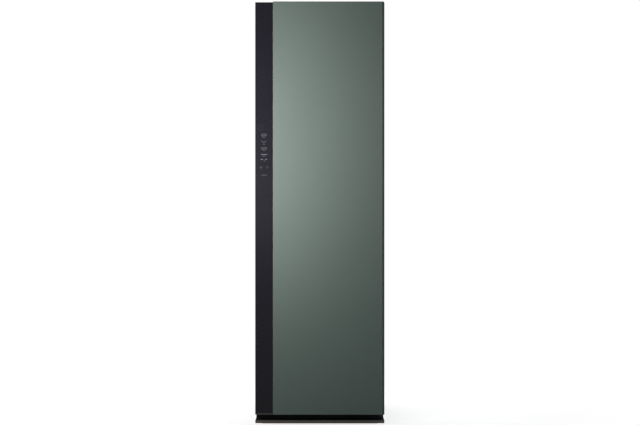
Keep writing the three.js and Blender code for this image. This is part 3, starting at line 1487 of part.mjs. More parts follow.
function hingeCover() {
  const x = [hingeX - TOP_ARM_PLATE_WIDTH, cabinetHalf - SEAT];
  const y = [mouth + SEAT, mouth + 2 * ARM_HALF_WIDTH + TOP_ARM_PLATE_LENGTH];
  const z = [cabinetTop + SEAT, cabinetTop + HINGE_COVER_HEIGHT];
  const shell = cut(
    carried(roundedOutline(x, y, GLASS_CORNER), "z", ...z),
    block(
      grow(x, -HINGE_COVER_WALL),
      grow(y, -HINGE_COVER_WALL),
      [z[0] - OVERRUN, z[1] - HINGE_COVER_WALL],
    ),
  );
  const armHole = block(
    [hingeX - ARM_HALF_WIDTH - SEAT, hingeX + ARM_HALF_WIDTH + SEAT],
    [y[0] - OVERRUN, y[0] + HINGE_COVER_WALL + OVERRUN],
    [z[0] - OVERRUN, z[0] + ARM_THICKNESS + SEAT],
  );
  return cut(shell, armHole);
}

function bottomBracket() {
  const plate = block(
    about(hingeX, FOOT_PLATE_WIDTH),
    [mouth - SEAT - FOOT_PLATE_THICKNESS, mouth - SEAT],
    [panBottom + FOOT_PLATE_DROP, FOOT_PLATE_TOP],
  );
  const armTop = DOOR_LIFT - FOOT_ARM_DROP;
  const z = [armTop - ARM_THICKNESS, armTop];
  const arm = block(
    [hingeX - ARM_HALF_WIDTH, hingeX + ARM_HALF_WIDTH],
    [hingeY, mouth - SEAT - FOOT_PLATE_THICKNESS / 2],
    z,
  );
  const tip = round("z", [hingeX, hingeY], ARM_TIP_RADIUS, ...z);
  const pin = round(
    "z",
    [hingeX, hingeY],
    PIN_RADIUS,
    armTop - CUT_MARGIN,
    armTop + PIN_LENGTH + FOOT_ARM_DROP,
  );
  return join(plate, arm, tip, pin);
}

// Door: a foam-filled casing with a sheet of glass and a control strip on its face
const casingFront = front + GLASS;
const stripX = [-doorHalf, -doorHalf + STRIP_WIDTH - SEAT];
const stripZ = [DOOR_LIFT + STRIP_INSET_BOTTOM, HEIGHT - STRIP_INSET_TOP];
const stripY = [front + STRIP_SETBACK, front + STRIP_SETBACK + STRIP_THICKNESS];
const beadX = doorHalf - EDGE_BEAD;
const casingBack = doorBack - DOOR_LINER;
const plateauX = [-roomHalf + PLATEAU_CLEAR, roomHalf - PLATEAU_CLEAR];
const plateauZ = [FLOOR_HEIGHT + PLATEAU_CLEAR, ceiling - PLATEAU_CLEAR];
const plateauTop = doorBack + PLATEAU_HEIGHT;

// A flat sheet standing upright, its outline rounded and both its edges ground off
function groundSheet(x, y, z, corner, ground) {
  const outline = roundedOutline(grow(x, -ground), grow(z, -ground), corner);
  const geometry = new THREE.ExtrudeGeometry(outline, {
    depth: y[1] - y[0] - 2 * ground,
    bevelThickness: ground,
    bevelSize: ground,
    bevelSegments: 1,
    curveSegments: 3,
  });
  return solid(geometry.rotateX(Math.PI / 2).translate(0, y[1] - ground, 0));
}

// A raised field with sloping sides, standing on the plane at y towards the room
function raised(x, z, y, height, slope, depth) {
  const geometry = new THREE.ExtrudeGeometry(roundedOutline(x, z, 2 * slope), {
    depth,
    bevelThickness: height,
    bevelSize: slope,
    bevelSegments: 1,
    curveSegments: 3,
  });
  const both = solid(geometry.rotateX(Math.PI / 2).translate(0, y, 0));
  return cut(both, block(grow(x, 2 * slope), [y - depth - 2 * height, y - depth], grow(z, 2 * slope)));
}

function doorCasing() {
  const slab = block([-doorHalf, doorHalf], [casingFront, casingBack], [DOOR_LIFT, casingTop]);
  const outline = new THREE.Shape();
  outline.moveTo(-doorHalf, DOOR_LIFT);
  outline.lineTo(doorHalf - CASING_CORNER, DOOR_LIFT);
  outline.absarc(doorHalf - CASING_CORNER, DOOR_LIFT + CASING_CORNER, CASING_CORNER, -Math.PI / 2, 0);
  outline.absarc(doorHalf - CASING_CORNER, HEIGHT - CASING_CORNER, CASING_CORNER, 0, Math.PI / 2);
  outline.lineTo(stripX[1] + SEAT, HEIGHT);
  outline.lineTo(stripX[1] + SEAT, HEIGHT - STRIP_STEP);
  outline.lineTo(-doorHalf, HEIGHT - STRIP_STEP);
  const face = carried(outline, "y", front, casingFront + LIP_DEPTH);
  const glassBed = block(
    [-doorHalf - OVERRUN, beadX],
    [front - OVERRUN, casingFront],
    [DOOR_LIFT - OVERRUN, HEIGHT + OVERRUN],
  );
  const stripBed = block(
    [-doorHalf - OVERRUN, stripX[1] + SEAT],
    [front - OVERRUN, stripY[1] + SEAT],
    grow(stripZ, SEAT),
  );
  const core = raised(
    grow(plateauX, -DOOR_LINER - SEAT),
    grow(plateauZ, -DOOR_LINER - SEAT),
    doorBack - DOOR_LINER - SEAT,
    PLATEAU_HEIGHT,
    PLATEAU_SLOPE,
    DOOR_LINER,
  );
  const pull = block(
    [-doorHalf - OVERRUN, -doorHalf + PULL_DEPTH],
    [doorBack - PULL_SETBACK - PULL_OPENING, doorBack - PULL_SETBACK],
    about(PULL_HEIGHT, PULL_LENGTH),
  );
  const bores = [
    [casingTop - PIN_LENGTH - SLIDE_CLEARANCE, casingTop + OVERRUN],
    [DOOR_LIFT - OVERRUN, DOOR_LIFT + PIN_LENGTH + SLIDE_CLEARANCE],
  ].map((z) => round("z", [hingeX, hingeY], PIN_RADIUS + PIN_CLEARANCE, ...z));
  return cut(join(slab, face, core), glassBed, stripBed, pull, bores);
}

const doorGlass = () =>
  groundSheet(
    [stripX[1] + SEAT, beadX - SEAT],
    [front, casingFront],
    [DOOR_LIFT, HEIGHT],
    GLASS_CORNER / 2,
    GLASS_GROUND,
  );
const controlStrip = () => groundSheet(stripX, stripY, stripZ, GLASS_CORNER / 2, STRIP_GROUND);

function doorLiner() {
  const x = grow([-doorHalf, doorHalf], -LINER_SETBACK);
  const z = [DOOR_LIFT + LINER_SETBACK, casingTop - LINER_SETBACK];
  const flange = block(x, [casingBack, doorBack], z);
  const field = raised(plateauX, plateauZ, doorBack, PLATEAU_HEIGHT, PLATEAU_SLOPE, DOOR_LINER / 2);
  const under = raised(
    grow(plateauX, -DOOR_LINER),
    grow(plateauZ, -DOOR_LINER),
    doorBack - DOOR_LINER,
    PLATEAU_HEIGHT,
    PLATEAU_SLOPE,
    OVERRUN,
  );
  return cut(join(flange, field), under);
}

function doorGasket() {
  const x = grow([-doorHalf, doorHalf], -GASKET_EDGE);
  const z = [DOOR_LIFT + GASKET_BOTTOM_EDGE, casingTop - GASKET_TOP_EDGE];
  const ring = (inset, y) =>
    cut(
      carried(roundedOutline(grow(x, -inset), grow(z, -inset), GASKET_ROOT), "y", ...y),
      block(
        grow(x, inset - GASKET_WIDTH),
        [y[0] - OVERRUN, y[1] + OVERRUN],
        grow(z, inset - GASKET_WIDTH),
      ),
    );
  const bellows = doorBack + SEAL_GAP / 3;
  return join(
    ring((GASKET_WIDTH - GASKET_ROOT) / 2, [doorBack + SEAT, bellows + CUT_MARGIN]),
    ring(0, [bellows, mouth - SEAT]),
  );
}

// Trouser press: a padded base on the door, and a plate hinged along its right side
const pressX = [plateauX[0] + PRESS_LEFT_MARGIN, plateauX[1] - PRESS_RIGHT_MARGIN];
const pressZ = [plateauZ[0] + PRESS_LOWER_MARGIN, plateauZ[1] - PRESS_UPPER_MARGIN];
const pressMiddle = (pressX[0] + pressX[1]) / 2;
const baseY = [plateauTop + SEAT, plateauTop + SEAT + PRESS_BASE];
const plateY = [baseY[1] + PRESS_GAP, baseY[1] + PRESS_GAP + PRESS_PLATE];
const barrelX = pressX[1] + PRESS_BARREL_RADIUS + SLIDE_CLEARANCE;
const barrelY = baseY[1] + PRESS_GAP / 2;
const knuckles = evenly(
  PRESS_KNUCKLES,
  pressZ[0] + KNUCKLE_MARGIN + KNUCKLE_LENGTH / 2,
  pressZ[1] - KNUCKLE_MARGIN - KNUCKLE_LENGTH / 2,
);
const latchZ = about((pressZ[0] + pressZ[1]) / 2, LATCH_HEIGHT);
const hookZ = grow(latchZ, -LATCH_HEIGHT / 4);
const latchX = [pressX[0] + PRESS_FRAME / 2, pressX[0] + PRESS_FRAME / 2 + LATCH_WIDTH];
const latchY = [plateY[1] - LATCH_DEPTH / 2, plateY[1] + LATCH_DEPTH / 2];

// Half a hinge leaf and its barrel, joined to a panel that ends at the press's right side
function leaf(z, y) {
  return join(
    round("z", [barrelX, barrelY], PRESS_BARREL_RADIUS, ...z, LARGE_SIDES),
    block([pressX[1] - PRESS_FRAME, barrelX], y, z),
  );
}

function pressBase() {
  const slab = carried(roundedOutline(pressX, pressZ, PRESS_CORNER), "y", ...baseY);
  const lower = knuckles.map((at) =>
    leaf([at - KNUCKLE_LENGTH / 2, at - SEAT / 2], [baseY[1] - PRESS_RECESS, baseY[1]]),
  );
  const pins = knuckles.map((at) =>
    round(
      "z",
      [barrelX, barrelY],
      PRESS_PIN_RADIUS,
      at - SEAT,
      at + KNUCKLE_LENGTH / 2 - SLIDE_CLEARANCE,
      SMALL_SIDES,
    ),
  );
  const cheekOuter = pressX[0] - LATCH_HOOK - MOULD;
  const cheek = join(
    block([cheekOuter, pressX[0] + CUT_MARGIN], baseY, grow(hookZ, PRESS_RECESS)),
    block([cheekOuter, pressX[0] - SEAT], [baseY[0], latchY[0] - SEAT], grow(hookZ, PRESS_RECESS)),
  );
  return join(slab, lower, pins, cheek);
}

function pressPlate() {
  const slab = carried(roundedOutline(pressX, pressZ, PRESS_CORNER), "y", ...plateY);
  const field = carried(
    roundedOutline(grow(pressX, -PRESS_FRAME), grow(pressZ, -PRESS_FRAME), PRESS_CORNER / 2),
    "y",
    plateY[1] - PRESS_RECESS,
    plateY[1] + OVERRUN,
  );
  const latchBed = block(
    [pressX[0] - OVERRUN, latchX[1] + LATCH_TRAVEL + SLIDE_CLEARANCE],
    [latchY[0] - SEAT, plateY[1] + OVERRUN],
    grow(latchZ, SEAT),
  );
  const pad = block(
    [latchX[0], latchX[1] + PRESS_FRAME],
    [plateY[0] + PRESS_GAP, latchY[0] - SEAT],
    grow(latchZ, PRESS_FRAME),
  );
  const surround = block(
    [pressX[0] + PRESS_FRAME / 2, latchX[1] + LATCH_TRAVEL + PRESS_FRAME / 2],
    [plateY[0] + PRESS_GAP, plateY[1]],
    grow(latchZ, PRESS_FRAME / 2),
  );
  const upper = knuckles.map((at) =>
    leaf([at + SEAT / 2, at + KNUCKLE_LENGTH / 2], [plateY[0], plateY[0] + PRESS_RECESS]),
  );
  const bores = knuckles.map((at) =>
    round(
      "z",
      [barrelX, barrelY],
      PRESS_PIN_RADIUS + PIN_CLEARANCE,
      at - SEAT,
      at + KNUCKLE_LENGTH / 2 - SLIDE_CLEARANCE + SEAT,
      SMALL_SIDES,
    ),
  );
  return cut(join(cut(slab, field), pad, surround, upper), latchBed, bores);
}

function pressLatch() {
  const body = block(latchX, latchY, latchZ);
  const hook = block(
    [pressX[0] - LATCH_HOOK, latchX[0] + CUT_MARGIN],
    [latchY[0], latchY[0] + LATCH_DEPTH / 2 - SEAT],
    hookZ,
  );
  const grooves = evenly(3, latchX[0] + LATCH_WIDTH / 4, latchX[1] - LATCH_WIDTH / 4).map((at) =>
    block(about(at, MOULD), [latchY[1] - SLIDE_CLEARANCE, latchY[1] + OVERRUN], grow(latchZ, -LATCH_HOOK)),
  );
  return cut(join(body, hook), grooves);
}

function trouserClip() {
  const z = [pressZ[1] + CLIP_GAP, pressZ[1] + CLIP_GAP + CLIP_HEIGHT];
  const y = [plateauTop + SEAT, plateauTop + SEAT + CLIP_DEPTH];
  const bar = carried(roundedOutline(about(pressMiddle, CLIP_WIDTH), z, CLIP_HEIGHT / 3), "y", ...y);
  const jaws = [-1, 1].map((side) =>
    block(
      about(pressMiddle + (side * (CLIP_WIDTH - 2 * CLIP_JAW)) / 2, CLIP_JAW),
      [y[1] - PRESS_RECESS, y[1] + PRESS_RECESS],
      [z[0] - CLIP_JAW / 2, z[1] - CLIP_HEIGHT / 4],
    ),
  );
  return join(bar, jaws);
}

// The same object as a tree: each group stands at the place that its pieces turn or slide about
function group([x, y, z], ...children) {
  const node = new THREE.Group();
  node.position.set(x, y, z);
  children.forEach((child) => child.position.sub(node.position));
  return node.add(...children);
}

const deck = [0, 0, panTop];
const carcass = group(
  [0, 0, 0],
  piece("base_pan", basePan(), finishes.steel, deck),
  piece("side_panel_left", sidePanel(-1), finishes.sheet, [-cabinetHalf, 0, panBottom]),
  piece("side_panel_right", sidePanel(1), finishes.sheet, [cabinetHalf, 0, panBottom]),
  piece("top_cover", topCover(), finishes.black, [0, 0, coverBottom]),
  piece("back_panel", backPanel(), finishes.steel, [0, back, panBottom]),
  piece("cord_gland", cordGland(), finishes.rubber, [glandX, back, GLAND_HEIGHT]),
  piece("front_sill", frontSill(), finishes.sheet, [0, mouth, panBottom]),
  piece("front_header", frontHeader(), finishes.sheet, [0, mouth, ceiling]),
  piece("plinth_bar", plinthBar(), finishes.plinth, [0, front + PLINTH_SETBACK, 0]),
  piece("rear_foot_left", rearFoot(-feetX), finishes.rubber, [-feetX, rearFeetY, 0]),
  piece("rear_foot_right", rearFoot(feetX), finishes.rubber, [feetX, rearFeetY, 0]),
  piece("hinge_bracket_top", topBracket(), finishes.steel, [hingeX, hingeY, cabinetTop]),
  piece("hinge_bracket_bottom", bottomBracket(), finishes.steel, [hingeX, hingeY, DOOR_LIFT]),
  piece("hinge_cover", hingeCover(), finishes.black, [hingeX, mouth, cabinetTop]),
);
const frontFeet = [
  piece("foot_front_left", frontFoot(-feetX), finishes.black, [-feetX, frontFeetY, 0]),
  piece("foot_front_right", frontFoot(feetX), finishes.black, [feetX, frontFeetY, 0]),
];

const room = group(
  [0, mouth, FLOOR_HEIGHT],
  piece("liner_left", sideLiner(-1), finishes.liner, [-roomHalf, mouth, SILL_HEIGHT]),
  piece("liner_right", sideLiner(1), finishes.liner, [roomHalf, mouth, SILL_HEIGHT]),
  piece("liner_back", backLiner(), finishes.liner, [0, roomBack, FLOOR_HEIGHT]),
  piece("liner_ceiling", ceilingLiner(), finishes.liner, [0, mouth, ceiling]),
  piece("ceiling_light_lens", ceilingLens(), finishes.lens, [0, lensY[0], ceiling]),
  piece("cavity_floor", cavityFloor(), finishes.liner, [0, mouth, FLOOR_HEIGHT]),
  piece("steam_nozzle", steamNozzle(), finishes.black, [nozzleX, nozzleY, FLOOR_HEIGHT]),
  piece("shelf", shelf(), finishes.black, [0, mouth + SHELF_FRONT_GAP, SHELF_HEIGHT]),
);
const filters = [
  piece("lint_filter", filterCase(FILTER_OFFSET, FILTER_WIDTH, FILTER_HEIGHT, 4), finishes.black, [
    FILTER_OFFSET,
    filterY,
    FLOOR_HEIGHT,
  ]),
  piece("aroma_cartridge", filterCase(AROMA_OFFSET, AROMA_WIDTH, AROMA_HEIGHT, 2), finishes.black, [
    AROMA_OFFSET,
    filterY,
    FLOOR_HEIGHT,
  ]),
];

const tanks = group(
  [0, bayFront, tankBottom],
  piece("tank_bay_frame", tankBay(), finishes.liner, [0, bayFront, SILL_HEIGHT]),
  piece("supply_tank", tank(-tankX), finishes.tank, [-tankX, bayFront, tankBottom]),
  piece("supply_tank_lid", tankLid(-tankX, fillerCap()), finishes.black, [-tankX, bayFront, tankTop]),
  piece("drain_tank", tank(tankX), finishes.tank, [tankX, bayFront, tankBottom]),
  piece("drain_tank_lid", tankLid(tankX, spout()), finishes.black, [tankX, bayFront, tankTop]),
);

const machineRoom = group(
  deck,
  piece("air_duct", airDuct(), finishes.black, [DUCT_OFFSET, intakeY[0], DUCT_BOTTOM]),
  piece("evaporator", coil(evaporatorY), finishes.aluminium, [DUCT_OFFSET, evaporatorY[0], DUCT_BOTTOM]),
  piece("condenser", coil(condenserY), finishes.aluminium, [DUCT_OFFSET, condenserY[0], DUCT_BOTTOM]),
  piece("fan_housing", fanHousing(), finishes.black, [fanX, scrollY[0], fanZ]),
  piece("fan_motor", fanMotor(), finishes.steel, [fanX, scrollY[1], fanZ]),
  piece("compressor", compressor(), finishes.black, [compressorX, compressorY, panTop]),
  piece("refrigerant_pipe", refrigerantPipe(), finishes.copper, [portX, compressorY, compressorTop]),
  piece("steam_generator", steamGenerator(), finishes.liner, [nozzleX, steamPortY, panTop]),
  piece("steam_pipe", steamPipe(), finishes.rubber, [nozzleX, steamPortY, steamZ[1]]),
  piece("supply_pump", pump(-pumpX), finishes.black, [-pumpX, mouth + PUMP_SETBACK, panTop]),
  piece("drain_pump", pump(pumpX), finishes.black, [pumpX, mouth + PUMP_SETBACK, panTop]),
  piece("control_box", controlBox(), finishes.liner, [boxX, back, panTop + BOX_LIFT]),
);
const impeller = piece("fan_impeller", fanImpeller(), finishes.black, [fanX, scrollY[0], fanZ]);

const drive = group(
  [0, railY, plateTop],
  piece("drive_frame", driveFrame(), finishes.steel, [0, railY, plateTop]),
  piece("drive_motor", driveMotor(), finishes.steel, [motorX, railY, plateTop]),
  piece("drive_belt", driveBelt(), finishes.rubber, [0, railY, pulleyBottom]),
  piece("crank_wheel", crankWheel(), finishes.rail, [0, railY, pulleyBottom]),
  piece("motor_pulley", motorPulley(), finishes.steel, [motorX, railY, pulleyBottom]),
);
const movingHanger = group(
  [0, railY, railTop],
  piece("hanger_bar", hangerBar(), finishes.rail, [0, railY, railTop]),
  piece("hanger_carriage", hangerCarriage(), finishes.black, [0, railY, carriageBottom]),
);

const press = group(
  [barrelX, barrelY, pressZ[0]],
  piece("press_plate", pressPlate(), finishes.liner, [barrelX, barrelY, pressZ[0]]),
  piece("press_latch", pressLatch(), finishes.rail, [latchX[0], latchY[0], latchZ[0]]),
);
const door = group(
  [hingeX, hingeY, DOOR_LIFT],
  piece("door_casing", doorCasing(), finishes.black, [hingeX, hingeY, DOOR_LIFT]),
  piece("door_glass", doorGlass(), finishes.glass, [stripX[1], front, DOOR_LIFT]),
  piece("control_strip", controlStrip(), finishes.blackGlass, [stripX[0], front, stripZ[0]]),
  piece("door_liner", doorLiner(), finishes.liner, [0, doorBack, DOOR_LIFT]),
  piece("door_gasket", doorGasket(), finishes.rubber, [0, doorBack, DOOR_LIFT]),
  piece("press_base", pressBase(), finishes.pad, [pressMiddle, plateauTop, pressZ[0]]),
  piece("trouser_clip", trouserClip(), finishes.rail, [pressMiddle, plateauTop, pressZ[1] + CLIP_GAP]),
  press,
);

const cabinet = new THREE.Group();
cabinet.add(
  carcass,
  ...frontFeet,
  room,
  ...filters,
  tanks,
  machineRoom,
  impeller,
  drive,
  movingHanger,
  door,
);

export default cabinet;
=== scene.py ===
"""The looks of a clothes care steam cabinet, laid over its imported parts, in metres.

It goes in this order: node helpers, surface effects, finishes, the studio and its floor, then the small pieces that
the parts carry.
"""
import math

import bmesh
import bpy
import numpy as np
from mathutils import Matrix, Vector


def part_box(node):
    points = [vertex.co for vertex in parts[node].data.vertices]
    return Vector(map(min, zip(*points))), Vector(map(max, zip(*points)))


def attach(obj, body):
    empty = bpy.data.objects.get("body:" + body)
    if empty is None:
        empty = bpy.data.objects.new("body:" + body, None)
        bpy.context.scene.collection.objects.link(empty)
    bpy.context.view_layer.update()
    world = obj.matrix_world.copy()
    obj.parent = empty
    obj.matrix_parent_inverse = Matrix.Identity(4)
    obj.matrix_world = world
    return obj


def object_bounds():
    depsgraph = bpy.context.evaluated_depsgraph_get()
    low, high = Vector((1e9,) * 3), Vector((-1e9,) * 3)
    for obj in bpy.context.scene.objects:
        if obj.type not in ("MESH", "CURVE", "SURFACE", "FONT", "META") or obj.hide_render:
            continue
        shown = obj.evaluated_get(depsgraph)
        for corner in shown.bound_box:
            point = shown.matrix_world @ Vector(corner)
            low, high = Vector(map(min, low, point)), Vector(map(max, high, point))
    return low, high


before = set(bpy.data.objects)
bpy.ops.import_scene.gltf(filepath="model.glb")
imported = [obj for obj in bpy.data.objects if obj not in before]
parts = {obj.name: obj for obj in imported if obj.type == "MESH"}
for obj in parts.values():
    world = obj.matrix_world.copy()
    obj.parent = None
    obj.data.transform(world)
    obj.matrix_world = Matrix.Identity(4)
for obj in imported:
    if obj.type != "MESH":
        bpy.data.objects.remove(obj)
cad_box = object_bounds()
scene = bpy.context.scene
finishes = {}


# Node helpers
def feed(tree, socket, value):
    """Links an output to a socket, or sets it to a number, vector or colour. A colour can leave out its alpha of 1."""
    if isinstance(value, bpy.types.NodeSocket):
        tree.links.new(value, socket)
    elif socket.type == "RGBA" and len(value) == 3:
        socket.default_value = (*value, 1.0)
    else:
        socket.default_value = value


def node(tree, kind, *values, **named):
    """Adds a node and gives its outputs. Values feed its sockets in order. A name in small letters is one of the
    node's own settings, and any other is a socket's label, with _ for a space.
    """
    made = tree.nodes.new(f"ShaderNode{kind}")
    for label, value in named.items():
        if label.islower():
            setattr(made, label, value)
    for socket, value in zip(made.inputs, values):
        feed(tree, socket, value)
    for label, value in named.items():
        if not label.islower():
            feed(tree, made.inputs[label.replace("_", " ")], value)
    return made.outputs


def maths(tree, operation, *values, clamp=False):
    """The result of one Math node."""
    return node(tree, "Math", *values, operation=operation, use_clamp=clamp)[0]


def times(tree, first, second, clamp=False):
    """The product of two values."""
    return maths(tree, "MULTIPLY", first, second, clamp=clamp)


def plus(tree, first, second, clamp=False):
    """The sum of two values."""
    return maths(tree, "ADD", first, second, clamp=clamp)


def between(tree, value, low, high, out_low=0.0, out_high=1.0, smooth=True):
    """Low to high becomes out_low to out_high, and no more than that beyond them."""
    shape = "SMOOTHSTEP" if smooth else "LINEAR"
    return node(tree, "MapRange", value, low, high, out_low, out_high, interpolation_type=shape)["Result"]


def scaled(tree, mask, low, high):
    """A mask from 0 to 1 as a value from low to high, in a straight line."""
    return between(tree, mask, 0.0, 1.0, low, high, False)


def blend(tree, mask, first, second):
    """The first colour where a mask is 0, going over into the second where it is 1."""
    made = tree.nodes.new("ShaderNodeMix")
    made.data_type = "RGBA"
    for place, value in ((0, mask), (6, first), (7, second)):
        feed(tree, made.inputs[place], value)
    return made.outputs[2]


def over(tree, base, mask, share, colour):
    """A colour laid over a base at a mask times a share."""
    return blend(tree, times(tree, mask, share), base, colour)


def tone(colour, share):
    """A colour with each part times a share."""
    return tuple(part * share for part in colour)


def noise(tree, point, scale, detail=2.0, roughness=0.5, stretch=None):
    """Noise over a point in metres. Stretch gives other scales along x, y and z."""
    if stretch is not None:
        point = node(tree, "VectorMath", point, stretch, operation="MULTIPLY")[0]
    return node(tree, "TexNoise", Vector=point, Scale=scale, Detail=detail, Roughness=roughness)["Fac"]


def split(tree, vector):
    """The three parts of a vector."""
    return node(tree, "SeparateXYZ", vector)


def facing(tree):
    """The three parts of the direction that a surface faces."""
    return split(tree, node(tree, "NewGeometry")["Normal"])


def edge_turn(tree, width, samples):
    """How well the normal agrees with the one of edges rounded to a width: 1 away from them, and less beside them."""
    rounded = node(tree, "Bevel", Radius=width, samples=samples)["Normal"]
    return node(tree, "VectorMath", rounded, node(tree, "NewGeometry")["Normal"], operation="DOT_PRODUCT")["Value"]


def seen_rays(tree):
    """1 for the rays that see the white surround: from the camera, off gloss and through clear pieces."""
    path = node(tree, "LightPath")
    seen = maths(tree, "MAXIMUM", path["Is Camera Ray"], path["Is Transmission Ray"])
    return maths(tree, "MAXIMUM", seen, path["Is Glossy Ray"])


def fresh_tree(owner):
    """The node tree of a world or material, emptied."""
    owner.use_nodes = True
    owner.node_tree.nodes.clear()
    return owner.node_tree


# Surface effects
def effect(name, outputs, **inputs):
    """An empty group for one surface effect. Each output is a number. An input is a number or vector with its usual
    value, or None for a place, which every use gives.
    """
    tree = bpy.data.node_groups.new(name, "ShaderNodeTree")
    for label, value in inputs.items():
        kind = "NodeSocketFloat" if isinstance(value, float) else "NodeSocketVector"
        socket = tree.interface.new_socket(label, in_out="INPUT", socket_type=kind)
        if value is not None:
            socket.default_value = value
    for label in outputs:
        tree.interface.new_socket(label, in_out="OUTPUT", socket_type="NodeSocketFloat")
    return tree, tree.nodes.new("NodeGroupInput").outputs, tree.nodes.new("NodeGroupOutput").inputs


def use(tree, name, point, **values):
    """Lays a surface effect over a place, with its own values."""
    return node(tree, "Group", point, node_tree=bpy.data.node_groups[name], **values)


def make_effects():
    """The surface effects that several finishes share."""
    # Grain: fine bumps of moulded plastic or sprayed paint, with a coarser orange peel under them
    tree, given, put = effect("Grain", ["Height", "Mask"], Point=None, Fine=1500.0, Coarse=180.0, Share=0.4)
    fine = noise(tree, given["Point"], given["Fine"], 3.0, 0.6)
    coarse = noise(tree, given["Point"], given["Coarse"])
    whole = node(tree, "Mix", Factor=given["Share"], A=fine, B=coarse)[0]
    feed(tree, put["Height"], whole)
    feed(tree, put["Mask"], between(tree, whole, 0.3, 0.7))

    # Handling: wide soft smudges and narrow wipe marks, as cleaning and hands leave on a smooth face
    tree, given, put = effect("Handling", ["Mask"], Point=None, Size=7.0)
    wide = between(tree, noise(tree, given["Point"], given["Size"], 4.0, 0.62), 0.42, 0.68)
    wipes = noise(tree, given["Point"], times(tree, given["Size"], 3.0), 3.0, 0.6, (1.0, 1.0, 0.18))
    wipes = between(tree, wipes, 0.5, 0.72)
    feed(tree, put["Mask"], plus(tree, times(tree, wide, 0.7), times(tree, wipes, 0.3), clamp=True))

    # Worn edges: where the rounded normal leaves the flat one, broken up by noise
    tree, given, put = effect("Worn edges", ["Mask"], Point=None, Width=0.0015, Breaks=60.0)
    edge = between(tree, edge_turn(tree, given["Width"], 4), 0.99, 0.75)
    broken = between(tree, noise(tree, given["Point"], given["Breaks"], 5.0, 0.7), 0.35, 0.62)
    feed(tree, put["Mask"], times(tree, edge, broken, clamp=True))

    # Dust: thin on what faces up, in patches, and thinner still elsewhere
    tree, given, put = effect("Dust", ["Mask"], Point=None, Amount=0.3)
    up = between(tree, facing(tree)["Z"], 0.2, 0.95, 0.08, 1.0)
    patches = between(tree, noise(tree, given["Point"], 38.0, 6.0, 0.7), 0.25, 0.8)
    specks = between(tree, noise(tree, given["Point"], 420.0, 2.0, 0.6), 0.5, 0.75)
    lying = plus(tree, times(tree, patches, 0.6), times(tree, specks, 0.4))
    feed(tree, put["Mask"], times(tree, times(tree, up, lying), given["Amount"], clamp=True))

    # Drawn lines: long fine streaks of brushed or rolled metal along one direction
    tree, given, put = effect("Drawn lines", ["Height", "Mask"], Point=None, Stretch=(1, 1, 1), Fineness=900.0)
    lines = noise(tree, given["Point"], given["Fineness"], 4.0, 0.7, given["Stretch"])
    feed(tree, put["Height"], lines)
    feed(tree, put["Mask"], between(tree, lines, 0.32, 0.68))

    # Zinc flowers: flat crystals of galvanised sheet, each with its own tone and gloss
    tree, given, put = effect("Zinc flowers", ["Tone", "Height"], Point=None, Size=90.0)
    wobble = node(tree, "TexNoise", Vector=given["Point"], Scale=70.0)["Color"]
    bent = node(tree, "VectorMath", wobble, (0.008, 0.008, 0.008), given["Point"], operation="MULTIPLY_ADD")[0]
    cells = node(tree, "TexVoronoi", Vector=bent, Scale=given["Size"])
    feed(tree, put["Tone"], node(tree, "SeparateColor", cells["Color"])[0])
    feed(tree, put["Height"], cells["Distance"])

    # Weave: over and under threads on the piece's own UV, which is in metres
    tree, given, put = effect("Weave", ["Height", "Hole"], UV=None, Threads=1600.0)
    place = split(tree, given["UV"])
    turn = times(tree, given["Threads"], math.pi)
    warp, weft = (maths(tree, "SINE", times(tree, place[part], turn)) for part in "XY")
    crest = maths(tree, "MAXIMUM", maths(tree, "ABSOLUTE", warp), maths(tree, "ABSOLUTE", weft))
    feed(tree, put["Height"], plus(tree, crest, times(tree, times(tree, warp, weft), 0.35)))
    feed(tree, put["Hole"], between(tree, crest, 0.55, 0.75))

    # Water marks: pale rims where drops have dried
    tree, given, put = effect("Water marks", ["Mask"], Point=None, Size=45.0)
    drops = node(tree, "TexVoronoi", Vector=given["Point"], Scale=given["Size"])["Distance"]
    rims = between(tree, maths(tree, "ABSOLUTE", maths(tree, "SUBTRACT", drops, 0.32)), 0.05, 0.0)
    some = between(tree, noise(tree, given["Point"], 9.0), 0.5, 0.62)
    feed(tree, put["Mask"], times(tree, rims, some))


# Finishes
DUST_COLOUR = (0.42, 0.40, 0.37)
RUBBER_COLOUR = (0.026, 0.026, 0.027)
BRACKET_COLOUR = (0.012, 0.012, 0.013)
# The near black of the painted shade on tops under the door
SHADE_BLACK = (0.005, 0.005, 0.005)
# The height at which the painted shade along the floor, on the strip below the shut door, ends, how far apart the
# gasket's ridges and folds are, and the angle that the lens's prisms turn through in a metre
DOOR_FOOT = 0.046
RIDGE_PITCH = 0.0045
FOLD_PITCH = 0.004
PRISM_TURN = 2400.0
# How far from an edge the wear on paint and on metal reaches
PAINT_WEAR = 0.0012
METAL_WEAR = 0.001
# The width of the painted highlight along the glass's polished bevel, and the control strip's printed border with the
# width over which it fades
BEVEL_HIGHLIGHT_WIDTH = 0.0045
BORDER_WIDTH = 0.0038
BORDER_FADE = 0.0008


def material(name, **plain):
    """A new finish with one Principled shader, whose own sockets take the plain values. It gives the tree, the
    shader's sockets and the point in metres.
    """
    made = finishes[name] = bpy.data.materials.new(name)
    tree = fresh_tree(made)
    shader = node(tree, "BsdfPrincipled", **plain)[0]
    node(tree, "OutputMaterial", shader)
    return tree, shader.node.inputs, node(tree, "TexCoord")["Object"]


def lay(tree, shader, colour, roughness, height, distance):
    """Feeds a shader its colour and roughness, and a Bump node made from a height, with its distance in metres."""
    feed(tree, shader["Base Color"], colour)
    feed(tree, shader["Roughness"], roughness)
    feed(tree, shader["Normal"], node(tree, "Bump", Distance=distance, Height=height)[0])


def facing_up(tree, point):
    """Mask of what faces up, where the hinge brackets and the plinth bar get painted shade."""
    return between(tree, facing(tree)["Z"], 0.3, 0.8)


